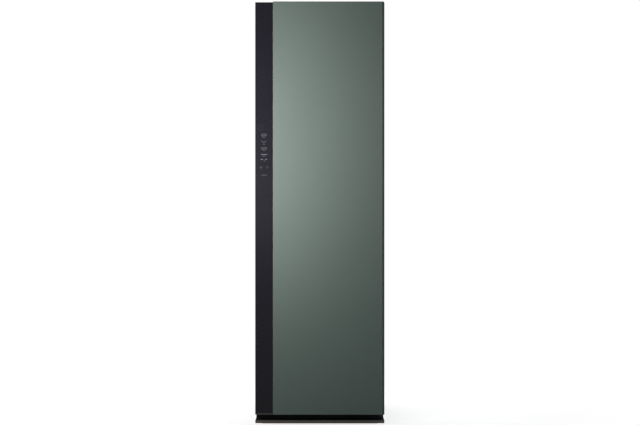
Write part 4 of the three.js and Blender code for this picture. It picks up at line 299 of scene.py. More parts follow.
def door_foot_shade(tree, point):
    """Mask of the painted shade on the strip along the floor that the shut door leaves bare, on what faces the front.
    """
    low = between(tree, split(tree, point)["Z"], DOOR_FOOT + 0.0005, DOOR_FOOT - 0.0005)
    return times(tree, low, between(tree, facing(tree)["Y"], -0.5, -0.8))


def beyond_edges(tree, point, low, high):
    """How far a point lies beyond the nearest edge of a box seen from the front: the greater of two distances, across
    and up, from the box's middle lines, less half its width or height. Inside the box it is below zero.
    """
    parted = split(tree, point)
    reaches = []
    for label, start, end in (("X", low.x, high.x), ("Z", low.z, high.z)):
        away = maths(tree, "ABSOLUTE", maths(tree, "SUBTRACT", parted[label], (start + end) / 2))
        reaches.append(maths(tree, "SUBTRACT", away, (end - start) / 2))
    return maths(tree, "MAXIMUM", *reaches)


def moulded(name, colour, rough=0.5, fine=1400.0, rise=0.00004, edge=0.35, dust=0.15, level=0.4, coat=0.0,
            painted_shade=None):
    """Moulded plastic or sprayed sheet: two near tones in smudges, grain, paler worn edges and thin dust. Painted
    shade is a mask and a colour: where the mask is 1, a dull coat of that colour is painted in as shade.
    """
    tree, shader, point = material(name, Specular_IOR_Level=level, Coat_Weight=coat, Coat_Roughness=0.12)
    grain = use(tree, "Grain", point, Fine=fine, Coarse=fine / 9)
    hands = use(tree, "Handling", point, Size=6.0)["Mask"]
    worn = use(tree, "Worn edges", point, Width=PAINT_WEAR)["Mask"]
    lying = use(tree, "Dust", point, Amount=dust)["Mask"]
    base = blend(tree, hands, tone(colour, 0.975), tone(colour, 1.025))
    base = over(tree, base, grain["Mask"], 0.25, tone(colour, 0.8))
    base = over(tree, base, worn, edge, tuple(min(part * 1.9 + 0.03, 1.0) for part in colour))
    base = blend(tree, lying, base, DUST_COLOUR)
    gloss = plus(tree, scaled(tree, hands, rough - 0.01, rough + 0.02), times(tree, lying, 0.3), clamp=True)
    gloss = maths(tree, "SUBTRACT", gloss, times(tree, worn, 0.08))
    # Painted shade: where the mask is 1, the colour becomes a dull tone that stands in for shade
    if painted_shade:
        mask, dull = painted_shade
        black = mask(tree, point)
        base = blend(tree, black, base, blend(tree, hands, tone(dull, 0.8), tone(dull, 1.2)))
        gloss = maths(tree, "MAXIMUM", gloss, times(tree, black, 0.9))
    lay(tree, shader, base, gloss, grain["Height"], rise)


def bright_metal(name, colour, rough=0.3, stretch=(0.03, 1.0, 1.0), fineness=900.0, tarnish=(0.3, 0.27, 0.24),
                 aged=0.25):
    """Drawn or rolled metal: streaks along its length, soft tarnish and brighter edges."""
    tree, shader, point = material(name, Metallic=1.0)
    lines = use(tree, "Drawn lines", point, Stretch=stretch, Fineness=fineness)
    hands = use(tree, "Handling", point, Size=9.0)["Mask"]
    worn = use(tree, "Worn edges", point, Width=METAL_WEAR)["Mask"]
    base = blend(tree, lines["Mask"], tone(colour, 0.86), tone(colour, 1.05))
    base = over(tree, base, hands, aged, tarnish)
    base = over(tree, base, worn, 0.5, tone(colour, 1.25))
    gloss = plus(tree, scaled(tree, lines["Mask"], rough, rough + 0.12), times(tree, hands, 0.12))
    lay(tree, shader, base, gloss, lines["Height"], 0.00002)


def face_glass():
    """Etched glass lacquered grey-green behind: tiny flakes in the lacquer, a cloudy depth, barely seen wipes, and a
    paler painted highlight along the polished bevel at its edges.
    """
    tree, shader, point = material("face_glass", Specular_IOR_Level=0.08)
    flakes = noise(tree, point, 2600.0, 2.0, 0.7)
    cloud = between(tree, noise(tree, point, 1.7, 3.0), 0.35, 0.65)
    hands = use(tree, "Handling", point, Size=4.0)["Mask"]
    bevel = between(tree, edge_turn(tree, BEVEL_HIGHLIGHT_WIDTH, 6), 0.985, 0.75)
    base = blend(tree, cloud, (0.130, 0.173, 0.155), (0.136, 0.179, 0.161))
    base = blend(tree, between(tree, flakes, 0.35, 0.75, 0.0, 0.4), base, (0.19, 0.235, 0.213))
    base = blend(tree, between(tree, flakes, 0.6, 0.25, 0.0, 0.35), base, (0.10, 0.135, 0.12))
    # Painted highlight: the colour is made paler along the bevel at the glass's edges
    base = over(tree, base, bevel, 0.4, (0.24, 0.28, 0.27))
    lay(tree, shader, base, scaled(tree, hands, 0.42, 0.50), flakes, 0.000006)


def control_glass():
    """Polished bluish black glass: a deep even tone, blacker in the printed border along its edges, with faint smudges
    that only change its gloss.
    """
    tree, shader, point = material("control_glass", Specular_IOR_Level=0.14)
    hands = use(tree, "Handling", point, Size=8.0)["Mask"]
    specks = use(tree, "Dust", point, Amount=0.02)["Mask"]
    border = between(tree, beyond_edges(tree, point, *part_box("control_strip")), -BORDER_WIDTH - BORDER_FADE,
                     -BORDER_WIDTH + BORDER_FADE)
    base = blend(tree, hands, (0.0058, 0.0054, 0.0098), (0.0064, 0.0060, 0.0106))
    base = blend(tree, specks, base, (0.12, 0.12, 0.12))
    base = over(tree, base, border, 0.9, (0.0006, 0.0006, 0.0008))
    lay(tree, shader, base, scaled(tree, hands, 0.24, 0.30), noise(tree, point, 12.0), 0.00003)


def zinc_sheet():
    """Galvanised sheet: crystals of differing tone and gloss, rolling lines and a little white bloom."""
    tree, shader, point = material("zinc_sheet", Metallic=0.9)
    flowers = use(tree, "Zinc flowers", point, Size=95.0)
    small = use(tree, "Zinc flowers", point, Size=310.0)["Tone"]
    lines = use(tree, "Drawn lines", point, Stretch=(1.0, 1.0, 0.02), Fineness=700.0)
    worn = use(tree, "Worn edges", point, Width=METAL_WEAR)["Mask"]
    lying = use(tree, "Dust", point, Amount=0.3)["Mask"]
    bloom = between(tree, noise(tree, point, 5.0, 5.0, 0.7), 0.55, 0.72, 0.0, 0.3)
    base = blend(tree, flowers["Tone"], (0.34, 0.35, 0.36), (0.48, 0.49, 0.50))
    base = over(tree, base, small, 0.3, (0.29, 0.30, 0.32))
    base = blend(tree, bloom, base, (0.62, 0.62, 0.60))
    base = over(tree, base, worn, 0.4, (0.7, 0.7, 0.7))
    base = blend(tree, lying, base, DUST_COLOUR)
    gloss = plus(tree, scaled(tree, flowers["Tone"], 0.34, 0.52), times(tree, lines["Mask"], 0.06))
    height = plus(tree, flowers["Height"], times(tree, lines["Height"], 0.4))
    lay(tree, shader, base, gloss, height, 0.00003)


def smoked_tank():
    """Smoked clear plastic: light passes, with dried water marks and a satin inside."""
    tree, shader, point = material("smoked_tank", Specular_IOR_Level=0.5, Transmission_Weight=0.6, IOR=1.49)
    marks = use(tree, "Water marks", point, Size=55.0)["Mask"]
    hands = use(tree, "Handling", point, Size=9.0)["Mask"]
    base = blend(tree, hands, (0.30, 0.33, 0.35), (0.36, 0.39, 0.41))
    base = over(tree, base, marks, 0.12, (0.65, 0.66, 0.65))
    gloss = plus(tree, scaled(tree, hands, 0.14, 0.26), times(tree, marks, 0.1))
    lay(tree, shader, base, gloss, noise(tree, point, 24.0), 0.00001)


def lens_plastic():
    """Frosted lens: milky, with moulded prisms across it and a little grain."""
    tree, shader, point = material("lens_plastic", Transmission_Weight=0.4, IOR=1.49)
    prisms = maths(tree, "SINE", times(tree, split(tree, point)["X"], PRISM_TURN))
    grain = use(tree, "Grain", point, Fine=1800.0, Coarse=200.0)
    base = blend(tree, grain["Mask"], (0.80, 0.80, 0.76), (0.88, 0.88, 0.84))
    lay(tree, shader, base, scaled(tree, grain["Mask"], 0.38, 0.5), plus(tree, prisms, grain["Height"]), 0.0001)


def rubber(name, bloom):
    """The start of a rubber: besides what a new finish gives, the height of its grain and the mask of its bloom, which
    lies on it in patches.
    """
    tree, shader, point = material(name, Specular_IOR_Level=0.35)
    grain = use(tree, "Grain", point, Fine=900.0, Coarse=120.0)["Height"]
    patch = between(tree, noise(tree, point, 22.0, 5.0, 0.7), 0.48, 0.75, 0.0, bloom)
    return tree, shader, point, grain, patch


def soft_rubber(name="soft_rubber", colour=RUBBER_COLOUR, bloom=0.25):
    """Rubber: dull, with a pale bloom in patches and flow lines from its extrusion."""
    tree, shader, point, grain, patch = rubber(name, bloom)
    lines = use(tree, "Drawn lines", point, Stretch=(1.0, 1.0, 0.05), Fineness=420.0)
    base = blend(tree, patch, colour, (0.10, 0.10, 0.098))
    base = over(tree, base, lines["Mask"], 0.3, tone(colour, 1.5))
    gloss = between(tree, patch, 0.0, 0.3, 0.62, 0.86, False)
    lay(tree, shader, base, gloss, plus(tree, grain, lines["Height"]), 0.00006)


def gasket_rubber():
    """Rubber of the door's gasket: ridges run round the ring, at even distances from its outer edges, so that they
    meet at mitred corners, and more run along its sides. Painted shade darkens the troughs between them.
    """
    tree, shader, point, grain, patch = rubber("gasket_rubber", 0.2)
    ring = beyond_edges(tree, point, *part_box("door_gasket"))
    ridges = maths(tree, "SINE", times(tree, ring, 2 * math.pi / RIDGE_PITCH))
    folds = maths(tree, "SINE", times(tree, split(tree, point)["Y"], 2 * math.pi / FOLD_PITCH))
    both = plus(tree, ridges, folds)
    base = blend(tree, patch, RUBBER_COLOUR, (0.09, 0.09, 0.088))
    # Painted shade: the troughs, where the ridges and folds are low, are darkened
    base = blend(tree, between(tree, both, -0.4, -1.4, 0.0, 0.7), base, (0.006, 0.006, 0.006))
    gloss = between(tree, patch, 0.0, 0.2, 0.6, 0.8, False)
    lay(tree, shader, base, gloss, plus(tree, both, times(tree, grain, 0.1)), 0.0004)


def cloth(name, colour, threads, rough=0.85):
    """Woven cloth on its own UV: threads, a fleck of tone along them, painted shade in the hollows between the threads,
    and soft fuzz.
    """
    tree, shader, _ = material(name, Sheen_Weight=0.3, Sheen_Roughness=0.5, Specular_IOR_Level=0.2)
    uv = node(tree, "TexCoord")["UV"]
    height = use(tree, "Weave", uv, Threads=threads)["Height"]
    fleck = noise(tree, uv, 700.0, 3.0, 0.6, (1.0, 0.12, 1.0))
    wide = noise(tree, uv, 9.0, 3.0, 0.6)
    base = blend(tree, between(tree, fleck, 0.35, 0.7), tone(colour, 0.82), tone(colour, 1.18))
    base = blend(tree, between(tree, wide, 0.35, 0.7, 0.0, 0.35), base, tone(colour, 0.75))
    # Painted shade: the hollows between the threads, where the weave is low, are darkened
    base = blend(tree, between(tree, height, 0.9, 0.3, 0.0, 0.55), base, tone(colour, 0.35))
    gloss = between(tree, fleck, 0.3, 0.7, rough - 0.06, rough + 0.06, False)
    lay(tree, shader, base, gloss, height, 0.0002)


def screen_cloth():
    """Fine filter screen: threads with open holes between them, and lint caught in patches."""
    tree, shader, _ = material("screen_cloth", Specular_IOR_Level=0.4)
    uv = node(tree, "TexCoord")["UV"]
    weave = use(tree, "Weave", uv, Threads=900.0)
    lint = between(tree, noise(tree, uv, 26.0, 6.0, 0.75), 0.52, 0.72, 0.0, 0.8)
    base = blend(tree, lint, (0.05, 0.052, 0.055), (0.28, 0.275, 0.27))
    feed(tree, shader["Alpha"], maths(tree, "MAXIMUM", weave["Hole"], lint))
    lay(tree, shader, base, between(tree, lint, 0.0, 0.8, 0.45, 0.9, False), weave["Height"], 0.0001)


def ink(name, colour):
    """Printed marks: slightly uneven ink."""
    tree, shader, point = material(name, Specular_IOR_Level=0.3)
    uneven = noise(tree, point, 1300.0, 3.0, 0.6)
    base = blend(tree, between(tree, uneven, 0.3, 0.7), tone(colour, 0.8), tone(colour, 1.2))
    lay(tree, shader, base, between(tree, uneven, 0.3, 0.7, 0.3, 0.45, False), uneven, 0.00001)


def make_finishes():
    """All finishes."""
    face_glass()
    control_glass()
    zinc_sheet()
    smoked_tank()
    lens_plastic()
    gasket_rubber()
    screen_cloth()
    soft_rubber()
    soft_rubber("belt_rubber", (0.018, 0.018, 0.018), 0.12)
    soft_rubber("thread", (0.05, 0.05, 0.052), 0.4)
    cloth("press_cloth", (0.16, 0.165, 0.17), 700.0)
    cloth("black_felt", (0.012, 0.012, 0.0125), 420.0, 0.9)
    moulded("casing_paint", (0.024, 0.024, 0.025), rough=0.42, fine=1100.0, dust=0.06)
    # The cabinet's front below the shut door gets a painted shade tone
    moulded("cabinet_paint", (0.050, 0.052, 0.054), rough=0.46, fine=1500.0, rise=0.00003, dust=0.05, level=0.18,
            painted_shade=(door_foot_shade, (0.058, 0.055, 0.062)))
    # The tops of the hinge brackets and of the plinth bar, under the door, get near black painted shade
    moulded("bracket_paint", BRACKET_COLOUR, rough=0.65, level=0.15, dust=0.05, painted_shade=(facing_up, SHADE_BLACK))
    moulded("plinth_paint", (0.150, 0.131, 0.124), rough=0.6, fine=1200.0, dust=0.1, level=0.1,
            painted_shade=(facing_up, SHADE_BLACK))
    moulded("liner_plastic", (0.085, 0.090, 0.096), rough=0.55, fine=1000.0, rise=0.00006, edge=0.15)
    moulded("dark_plastic", (0.030, 0.030, 0.032), rough=0.5, fine=1300.0, rise=0.00006)
    moulded("machine_plastic", (0.045, 0.046, 0.05), rough=0.6, fine=800.0, dust=0.35)
    moulded("compressor_paint", (0.018, 0.018, 0.019), rough=0.35, fine=600.0, dust=0.4, coat=0.3)
    bright_metal("anodised_rail", (0.46, 0.41, 0.35), 0.3, (0.02, 1.0, 1.0))
    bright_metal("bare_fins", (0.72, 0.73, 0.74), 0.35, (1.0, 1.0, 0.05), 1200.0)
    bright_metal("copper_pipe", (0.78, 0.42, 0.28), 0.28, (1.0, 0.1, 1.0), 700.0, (0.32, 0.17, 0.10), 0.6)
    bright_metal("screw_steel", (0.15, 0.15, 0.155), 0.42, (1.0, 1.0, 1.0), 1500.0, (0.09, 0.085, 0.08), 0.4)
    bright_metal("pulley_steel", (0.62, 0.62, 0.61), 0.25, (1.0, 1.0, 0.06))
    bright_metal("bead_steel", (0.075, 0.075, 0.08), 0.35)
    ink("print_ink", (0.088, 0.087, 0.098))
    ink("bright_ink", (0.15, 0.15, 0.165))
    ink("faint_ink", (0.013, 0.013, 0.015))
    ink("level_ink", (0.5, 0.5, 0.5))


WORN_BY = {
    "face_glass": "door_glass",
    "control_glass": "control_strip",
    "casing_paint": "door_casing",
    "cabinet_paint": "side_panel_left side_panel_right top_cover hinge_cover front_header front_sill",
    "bracket_paint": "hinge_bracket_bottom hinge_bracket_top",
    "plinth_paint": "plinth_bar",
    "liner_plastic": "liner_left liner_right liner_back liner_ceiling cavity_floor door_liner shelf tank_bay_frame",
    "dark_plastic": "lint_filter aroma_cartridge steam_nozzle supply_tank_lid drain_tank_lid trouser_clip press_base "
                    "press_plate press_latch",
    "machine_plastic": "air_duct fan_housing control_box supply_pump drain_pump drive_frame",
    "compressor_paint": "compressor",
    "zinc_sheet": "base_pan back_panel steam_generator fan_motor drive_motor",
    "anodised_rail": "hanger_bar",
    "bare_fins": "evaporator condenser",
    "copper_pipe": "refrigerant_pipe",
    "pulley_steel": "crank_wheel motor_pulley fan_impeller hanger_carriage",
    "smoked_tank": "supply_tank drain_tank",
    "lens_plastic": "ceiling_light_lens",
    "gasket_rubber": "door_gasket",
    "soft_rubber": "cord_gland foot_front_left foot_front_right rear_foot_left rear_foot_right steam_pipe",
    "belt_rubber": "drive_belt",
}


def dress():
    """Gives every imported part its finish."""
    left = set(parts)
    for finish, names in WORN_BY.items():
        for name in names.split():
            for place in parts[name].material_slots:
                place.material = finishes[finish]
            left.discard(name)
    assert not left, f"no finish for {sorted(left)}"


# Studio: the camera stands straight before the door, level with the middle of the cabinet
CAMERA_DISTANCE = 5.5
CAMERA_X = 0.0009
CAMERA_HEIGHT = 0.98
LENS = 66.65
SENSOR_WIDTH = 36
CLIP_END = 100
GLASS_Y = cad_box[0].y
WHITE = (1.0, 1.0, 1.0)
# What lights a surface from all round, where the rays that see the surround see it white
FILL = 0.07
FILL_COLOUR = (0.45, 1.0, 0.97)
KEY_COLOUR = (1.09, 1.0, 1.0)
# Name, place, what it points at, width, height, power, colour, whether it shows in gloss, and the angle it spreads over
LAMPS = [
    ("front_lamp", (-0.51, GLASS_Y - 0.71, 1.325), (-0.51, GLASS_Y, 1.325), 0.585, 1.06, 15.4, KEY_COLOUR, False, 180),
    ("strip_lamp", (-0.50, GLASS_Y - 3.0, 1.16), (-0.30, GLASS_Y, 1.1), 0.6, 0.6, 2.8, WHITE, True, 180),
    ("left_lamp", (-2.6, 0.7, 1.5), (0, 0.1, 1.0), 1.6, 1.6, 25, WHITE, False, 95),
    ("right_lamp", (2.6, 0.7, 1.5), (0, 0.1, 1.0), 1.6, 1.6, 25, WHITE, False, 95),
    ("back_lamp", (0, 2.8, 1.5), (0, 0.3, 1.0), 1.8, 1.8, 27, WHITE, False, 95),
    ("top_lamp", (0, 0.8, 3.6), (0, 0.1, 1.9), 1.2, 1.2, 14, WHITE, False, 80),
]
FLOOR_REACH = 5.0
FLOOR_SIDES = 48
# The floor's two greys where it lights the object, its own light and shade as the camera sees them, and how far out
# these go over into white
FLOOR_GREYS = ((0.27, 0.27, 0.27), (0.30, 0.30, 0.30))
FLOOR_GLOW = 0.70
FLOOR_SHADE = 0.28
FLOOR_FADE = (0.6, 1.6)


def studio():
    """A white surround, one soft lamp before the door at its left, and soft lamps round the rest."""
    camera_data = bpy.data.cameras.new("camera")
    camera_data.lens = LENS
    camera_data.sensor_width = SENSOR_WIDTH
    camera_data.clip_end = CLIP_END
    camera = bpy.data.objects.new("camera", camera_data)
    camera.location = (CAMERA_X, GLASS_Y - CAMERA_DISTANCE, CAMERA_HEIGHT)
    camera.rotation_euler = (math.radians(90), 0, 0)
    scene.collection.objects.link(camera)
    scene.camera = camera
    scene.view_settings.view_transform = "Standard"

    scene.world = bpy.data.worlds.new("surround")
    tree = fresh_tree(scene.world)
    fill = node(tree, "Background", FILL_COLOUR, FILL)[0]
    white = node(tree, "Background", WHITE, 1.0)[0]
    node(tree, "OutputWorld", node(tree, "MixShader", seen_rays(tree), fill, white)[0])

    for name, place, aim, width, height, watts, colour, gloss, spread in LAMPS:
        data = bpy.data.lights.new(name, "AREA")
        data.color = colour
        data.spread = math.radians(spread)
        data.shape = "RECTANGLE"
        data.size = width
        data.size_y = height
        data.energy = watts
        lamp = bpy.data.objects.new(name, data)
        lamp.location = place
        lamp.rotation_mode = "QUATERNION"
        lamp.rotation_quaternion = (Vector(aim) - Vector(place)).to_track_quat("-Z", "Y")
        lamp.visible_camera = False
        lamp.visible_glossy = gloss
        scene.collection.objects.link(lamp)


def floor():
    """A pale round floor: rings of points, with radius times cosine and sine of the turn. The camera sees it near white
    with the object's shadow on it, and it goes over into the white surround before its edge. From below it is clear.
    """
    rings = turned([(FLOOR_REACH, 0), (1, 0), (NEARLY_ZERO, 0)], (0, 0, 0), (0, 0, 1), FLOOR_SIDES)
    mesh = body_mesh("floor", [(rings, RING)])
    ground = bpy.data.objects.new("floor", mesh)
    scene.collection.objects.link(ground)
    mesh.materials.append(bpy.data.materials.new("pale_floor"))
    tree = fresh_tree(mesh.materials[0])
    point = node(tree, "TexCoord")["Object"]
    grain = noise(tree, point, 60.0, 4.0, 0.6)
    plain = node(tree, "BsdfDiffuse", blend(tree, grain, *FLOOR_GREYS))[0]
    shaded = node(tree, "BsdfDiffuse", tone(WHITE, FLOOR_SHADE))[0]
    glow, white = (node(tree, "Emission", Strength=strength)[0] for strength in (FLOOR_GLOW, 1.0))
    both = node(tree, "AddShader", shaded, glow)[0]
    reach = node(tree, "VectorMath", point, operation="LENGTH")["Value"]
    fade = node(tree, "MixShader", between(tree, reach, *FLOOR_FADE), both, white)[0]
    lit = node(tree, "MixShader", seen_rays(tree), plain, fade)[0]
    below = node(tree, "NewGeometry")["Backfacing"]
    clear = node(tree, "BsdfTransparent")[0]
    node(tree, "OutputMaterial", node(tree, "MixShader", below, lit, clear)[0])


# Shapes worked out as grids of points. A sheet is open, a ring wraps round its columns, and a solid also has ends.
SHEET, RING, SOLID = "sheet", "ring", "solid"
TO_FRONT = (0.0, -1.0, 0.0)
NEARLY_ZERO = 0.00001


def carry(path, section, normal):
    """Grid of a flat section carried along a path: each row is a path point plus the section's first number times the
    sideways direction, which is the path's direction crossed with the normal, plus its second number times the normal.
    """
    path = np.asarray(path, float)
    normal = np.asarray(normal, float)
    ahead = np.gradient(path, axis=0)
    ahead /= np.linalg.norm(ahead, axis=1, keepdims=True)
    side = np.cross(ahead, normal)
    section = np.asarray(section, float)
    return path[:, None] + section[None, :, :1] * side[:, None] + section[None, :, 1:] * normal


def turned(profile, centre, axis, sides):
    """Grid of a profile turned about an axis: radius times the cosine and sine of the turn in the two directions across
    the axis, plus height along the axis.
    """
    axis = np.asarray(axis, float)
    first = np.cross(axis, (0.0, 0.0, 1.0) if abs(axis[2]) < 0.5 else (1.0, 0.0, 0.0))
    second = np.cross(axis, first)
    turn = np.linspace(0, 2 * np.pi, sides, endpoint=False)
    ring = np.cos(turn)[:, None] * first + np.sin(turn)[:, None] * second
    profile = np.asarray(profile, float)
    return np.asarray(centre, float) + profile[:, None, :1] * ring[None] + profile[:, None, 1:] * axis


def upright(x, y, z):
    """Points from their x and z, all at one depth."""
    return np.stack([x, np.full(np.shape(x), y), z], -1)


def faces_of(rows, columns, wrap):
    """Four-sided faces between neighbours of a grid of points, as rows of point numbers."""
    r, c = np.meshgrid(np.arange(rows - 1), np.arange(columns if wrap else columns - 1), indexing="ij")
    along = (c + 1) % columns
    return np.stack([r * columns + c, r * columns + along, (r + 1) * columns + along, (r + 1) * columns + c],
                    -1).reshape(-1, 4)


def body_mesh(name, grids):
    """One smooth mesh from several grids, each with its kind. A solid's ends are closed by a point in their middle, and
    its faces are turned round where its signed volume is negative.
    """
    places, faces, start = [], [], 0
    for points, kind in grids:
        rows, columns = points.shape[:2]
        flat = points.reshape(-1, 3)
        quads = faces_of(rows, columns, kind != SHEET)
        if kind == SOLID:
            ring = np.arange(columns)
            ahead = (ring + 1) % columns
            tail = (rows - 1) * columns
            first, last = (np.full(columns, rows * columns + end) for end in (0, 1))
            quads = np.concatenate([quads, np.stack([ahead, ring, first, first], -1),
                                    np.stack([tail + ring, tail + ahead, last, last], -1)])
            flat = np.concatenate([flat, np.stack([points[0].mean(0), points[-1].mean(0)])])
            a, b, c, d = (flat[quads[:, corner]] for corner in range(4))
            if (np.cross(a, b) * c).sum() + (np.cross(a, c) * d).sum() < 0:
                quads = quads[:, ::-1]
        places.append(flat)
        faces.append(quads + start)
        start += len(flat)
    mesh = bpy.data.meshes.new(name)
    # An end's faces name its middle twice, and lose the second
    threes_and_fours = [tuple(dict.fromkeys(face)) for face in np.concatenate(faces).tolist()]
    mesh.from_pydata(np.concatenate(places).tolist(), [], threes_and_fours)
    mesh.validate()
    mesh.polygons.foreach_set("use_smooth", np.full(len(mesh.polygons), True))
    mesh.update()
    return mesh


def piece_of(mesh, finish, body):
    """Makes a mesh a piece under the same name, gives it its finish and lets it ride on a body."""
    mesh.materials.append(finishes[finish])
    made = bpy.data.objects.new(mesh.name, mesh)
    scene.collection.objects.link(made)
    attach(made, body)
    return made


def add(name, grids, finish, body):
    """Adds a piece made of grids."""
    return piece_of(body_mesh(name, grids), finish, body)


def unwrap(mesh):
    """The mesh's own UV: x and z of each face corner, in metres."""
    place = np.zeros(len(mesh.vertices) * 3)
    mesh.vertices.foreach_get("co", place)
    ends = np.zeros(len(mesh.loops), int)
    mesh.loops.foreach_get("vertex_index", ends)
    layer = mesh.uv_layers.new(name="UVMap")
    layer.data.foreach_set("uv", place.reshape(-1, 3)[ends][:, [0, 2]].astype(np.float32).ravel())


def rib_section(width, height, sunk=0.00005):
    """Section of a low rib with a flat top: from side to side it is sunk, up, across and sunk again."""
    half = width / 2
    edge = min(half, height) * 0.6
    return [(-half, -sunk), (-half, height - edge * 0.5), (-half + edge, height), (half - edge, height),
            (half, height - edge * 0.5), (half, -sunk)]


def ring_path(x, z, y, corner, steps=6):
    """A rounded rectangle in a plane of constant depth: four quarter circles about the corners' centres, in order."""
    turn = np.linspace(0, np.pi / 2, steps)
    quarters = []
    for k, (cx, cz) in enumerate([(x[1], z[1]), (x[0], z[1]), (x[0], z[0]), (x[1], z[0])]):
        cx += -corner if cx == x[1] else corner
        cz += -corner if cz == z[1] else corner
        angle = turn + k * np.pi / 2
        quarters.append(upright(cx + corner * np.cos(angle), y, cz + corner * np.sin(angle)))
    return np.concatenate(quarters)


def along(*corners, step=0.001):
    """A line through corners, with a point at least every step."""
    corners = np.asarray(corners, float)
    pieces = []
    for a, b in zip(corners[:-1], corners[1:]):
        count = max(int(np.linalg.norm(b - a) / step), 1)
        pieces.append(a + (b - a) * np.linspace(0, 1, count, endpoint=False)[:, None])
    return np.concatenate(pieces + [corners[-1:]])


def arc_line(centre, radius, start, end, steps=14):
    """Part of a circle: centre plus radius times cosine and sine, from one angle to another in degrees."""
    angle = np.radians(np.linspace(start, end, steps))
    return np.stack([centre[0] + radius * np.cos(angle), centre[1] + radius * np.sin(angle)], -1)


# Control strip
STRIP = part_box("control_strip")
STRIP_MIDDLE = (STRIP[0].x + STRIP[1].x) / 2
MARK_RISE = 0.00004
MARK_WIDTH = 0.0017
BRIGHT_WIDTH = 0.0024
FAINT_WIDTH = 0.0010
# The height at which each mark stands, from the top one down, and the dots' size, turn in degrees and places
SHIRT = 1.3415
HANGER = 1.3085
TROUSERS = 1.2755
BAR = 1.2485
DASHES = 1.2262
DOTS = 1.1890
LAST_DASH = 1.1538
DOT_RADIUS = 0.0028
DOT_ARC = (0, 330)
DOT_X = (-0.014, 0.0155)
# The field of thin bars above them: where its uprights stand, its lowest and highest bar and how many there are, and
# its uprights' lower end
FIELD_X = (-0.031, -0.017, -0.003)
FIELD_Z = (1.3600, 1.3890, 5)
FIELD_FOOT = 1.3590
# The bar at the field's right, and the bead along the strip's lower end, with how far short of each side it stops
SIDE_BAR = ((0.003, 1.3640), (0.024, 1.3640))
BEAD_WIDTH = 0.0014
BEAD_RISE = 0.0008
BEAD_SUNK = 0.0006
BEAD_STOPS = (0.0005, 0.0003)
BEAD_STEP = 0.01


def mark(height, *corners):
    """A line of a mark through corners, given in millimetres from the middle of the strip at a height."""
    return along(*(np.array(corners) / 1000 + (0, height)))


def strokes(lines, width):
    """Marks drawn as flat strokes: a low flat section is carried along each line of points (across, height)."""
    section = rib_section(width, MARK_RISE)
    paths = [upright(STRIP_MIDDLE + line[:, 0], STRIP[0].y, line[:, 1]) for line in lines]
    return [(carry(path, section, TO_FRONT), SOLID) for path in paths]


def touch_marks():
    """Faint touch marks of plain shapes: a shirt, a hanger, trousers, bars, dots and dashes, one under the other."""
    lines = [mark(SHIRT, (-13, 0), (-6, 4.5), (-2, 2), (2, 2), (6, 4.5), (13, 0), (10, -5), (6, -3.5), (6, -12.5),
                  (-6, -12.5), (-6, -3.5), (-10, -5), (-13, 0)), mark(SHIRT, (-5, -2), (5, -2))]
    lines += [mark(HANGER, (-13, 5), (-0.5, -4), (12, 5)), mark(HANGER, (0, -4), (0, -13)),
              mark(HANGER, (-4, -13), (4, -13))]
    lines += [mark(TROUSERS, (-13, 5), (13, 5)), mark(TROUSERS, (-13, 5), (-9, -2), (0, -9.5), (9, -2), (13, 5)),
              mark(TROUSERS, (-7, 0), (7, 0))]
    lines += [mark(BAR, (-6, -6), (6, -6)), mark(DASHES, (-3, -7), (4, -7))]
    lines += [arc_line((x, DOTS), DOT_RADIUS, *DOT_ARC) for x in DOT_X]
    lines += [mark(LAST_DASH, (-12.5, 0), (12.5, 0))]
    add("touch_marks", strokes(lines, MARK_WIDTH), "print_ink", "door")
    bright = [mark(BAR, (-14.5, 1), (15.5, 1)), mark(DASHES, (-14.5, 0), (-4.5, 0)), mark(DASHES, (4.5, 0), (14.5, 0))]
    add("bright_marks", strokes(bright, BRIGHT_WIDTH), "bright_ink", "door")


def faint_marks():
    """Marks that hardly show: a field of thin bars above the others, and a short bar at its right."""
    lines = [along((FIELD_X[0], z), (FIELD_X[2], z)) for z in np.linspace(*FIELD_Z)]
    lines += [along((x, FIELD_FOOT), (x, FIELD_Z[1])) for x in FIELD_X]
    lines += [along(*SIDE_BAR)]
    add("faint_marks", strokes(lines, FAINT_WIDTH), "faint_ink", "door")


def strip_foot():
    """Thin satin bead along the lower end of the control strip: its low section carried along a straight line."""
    z = STRIP[0].z - BEAD_WIDTH / 2
    path = along((STRIP[0].x + BEAD_STOPS[0], z), (STRIP[1].x - BEAD_STOPS[1], z), step=BEAD_STEP)
    path = upright(path[:, 0], STRIP[0].y + BEAD_RISE, path[:, 1])
    bead = carry(path, rib_section(BEAD_WIDTH, BEAD_RISE, BEAD_SUNK), TO_FRONT)
    add("strip_foot", [(bead, SOLID)], "bead_steel", "door")


# Fixings
SCREW_SIDES = 32
SCREW_SINK = 0.0002
# The cross recess: its turn, its half width and reach as shares of the head's radius, and its depth as a share of the
# head's height
RECESS_TURN = 0.3
RECESS_HALF = 0.17
RECESS_REACH = 0.6
RECESS_DEPTH = 0.55
# Where the screws stand: across the cover's back and front, in from its front and back edges, and in the hinge plate
BACK_SCREWS = (-0.27, 0.27, 5)
FRONT_SCREWS = (-0.27, -0.09, 0.09)
COVER_EDGE = (0.016, 0.014)
PLATE_EDGE = 0.006
PLATE_THICKNESS = 0.003
# The radius and height of the heads on the covers and on the plate
COVER_HEAD = (0.0036, 0.0013)
PLATE_HEAD = (0.003, 0.001)


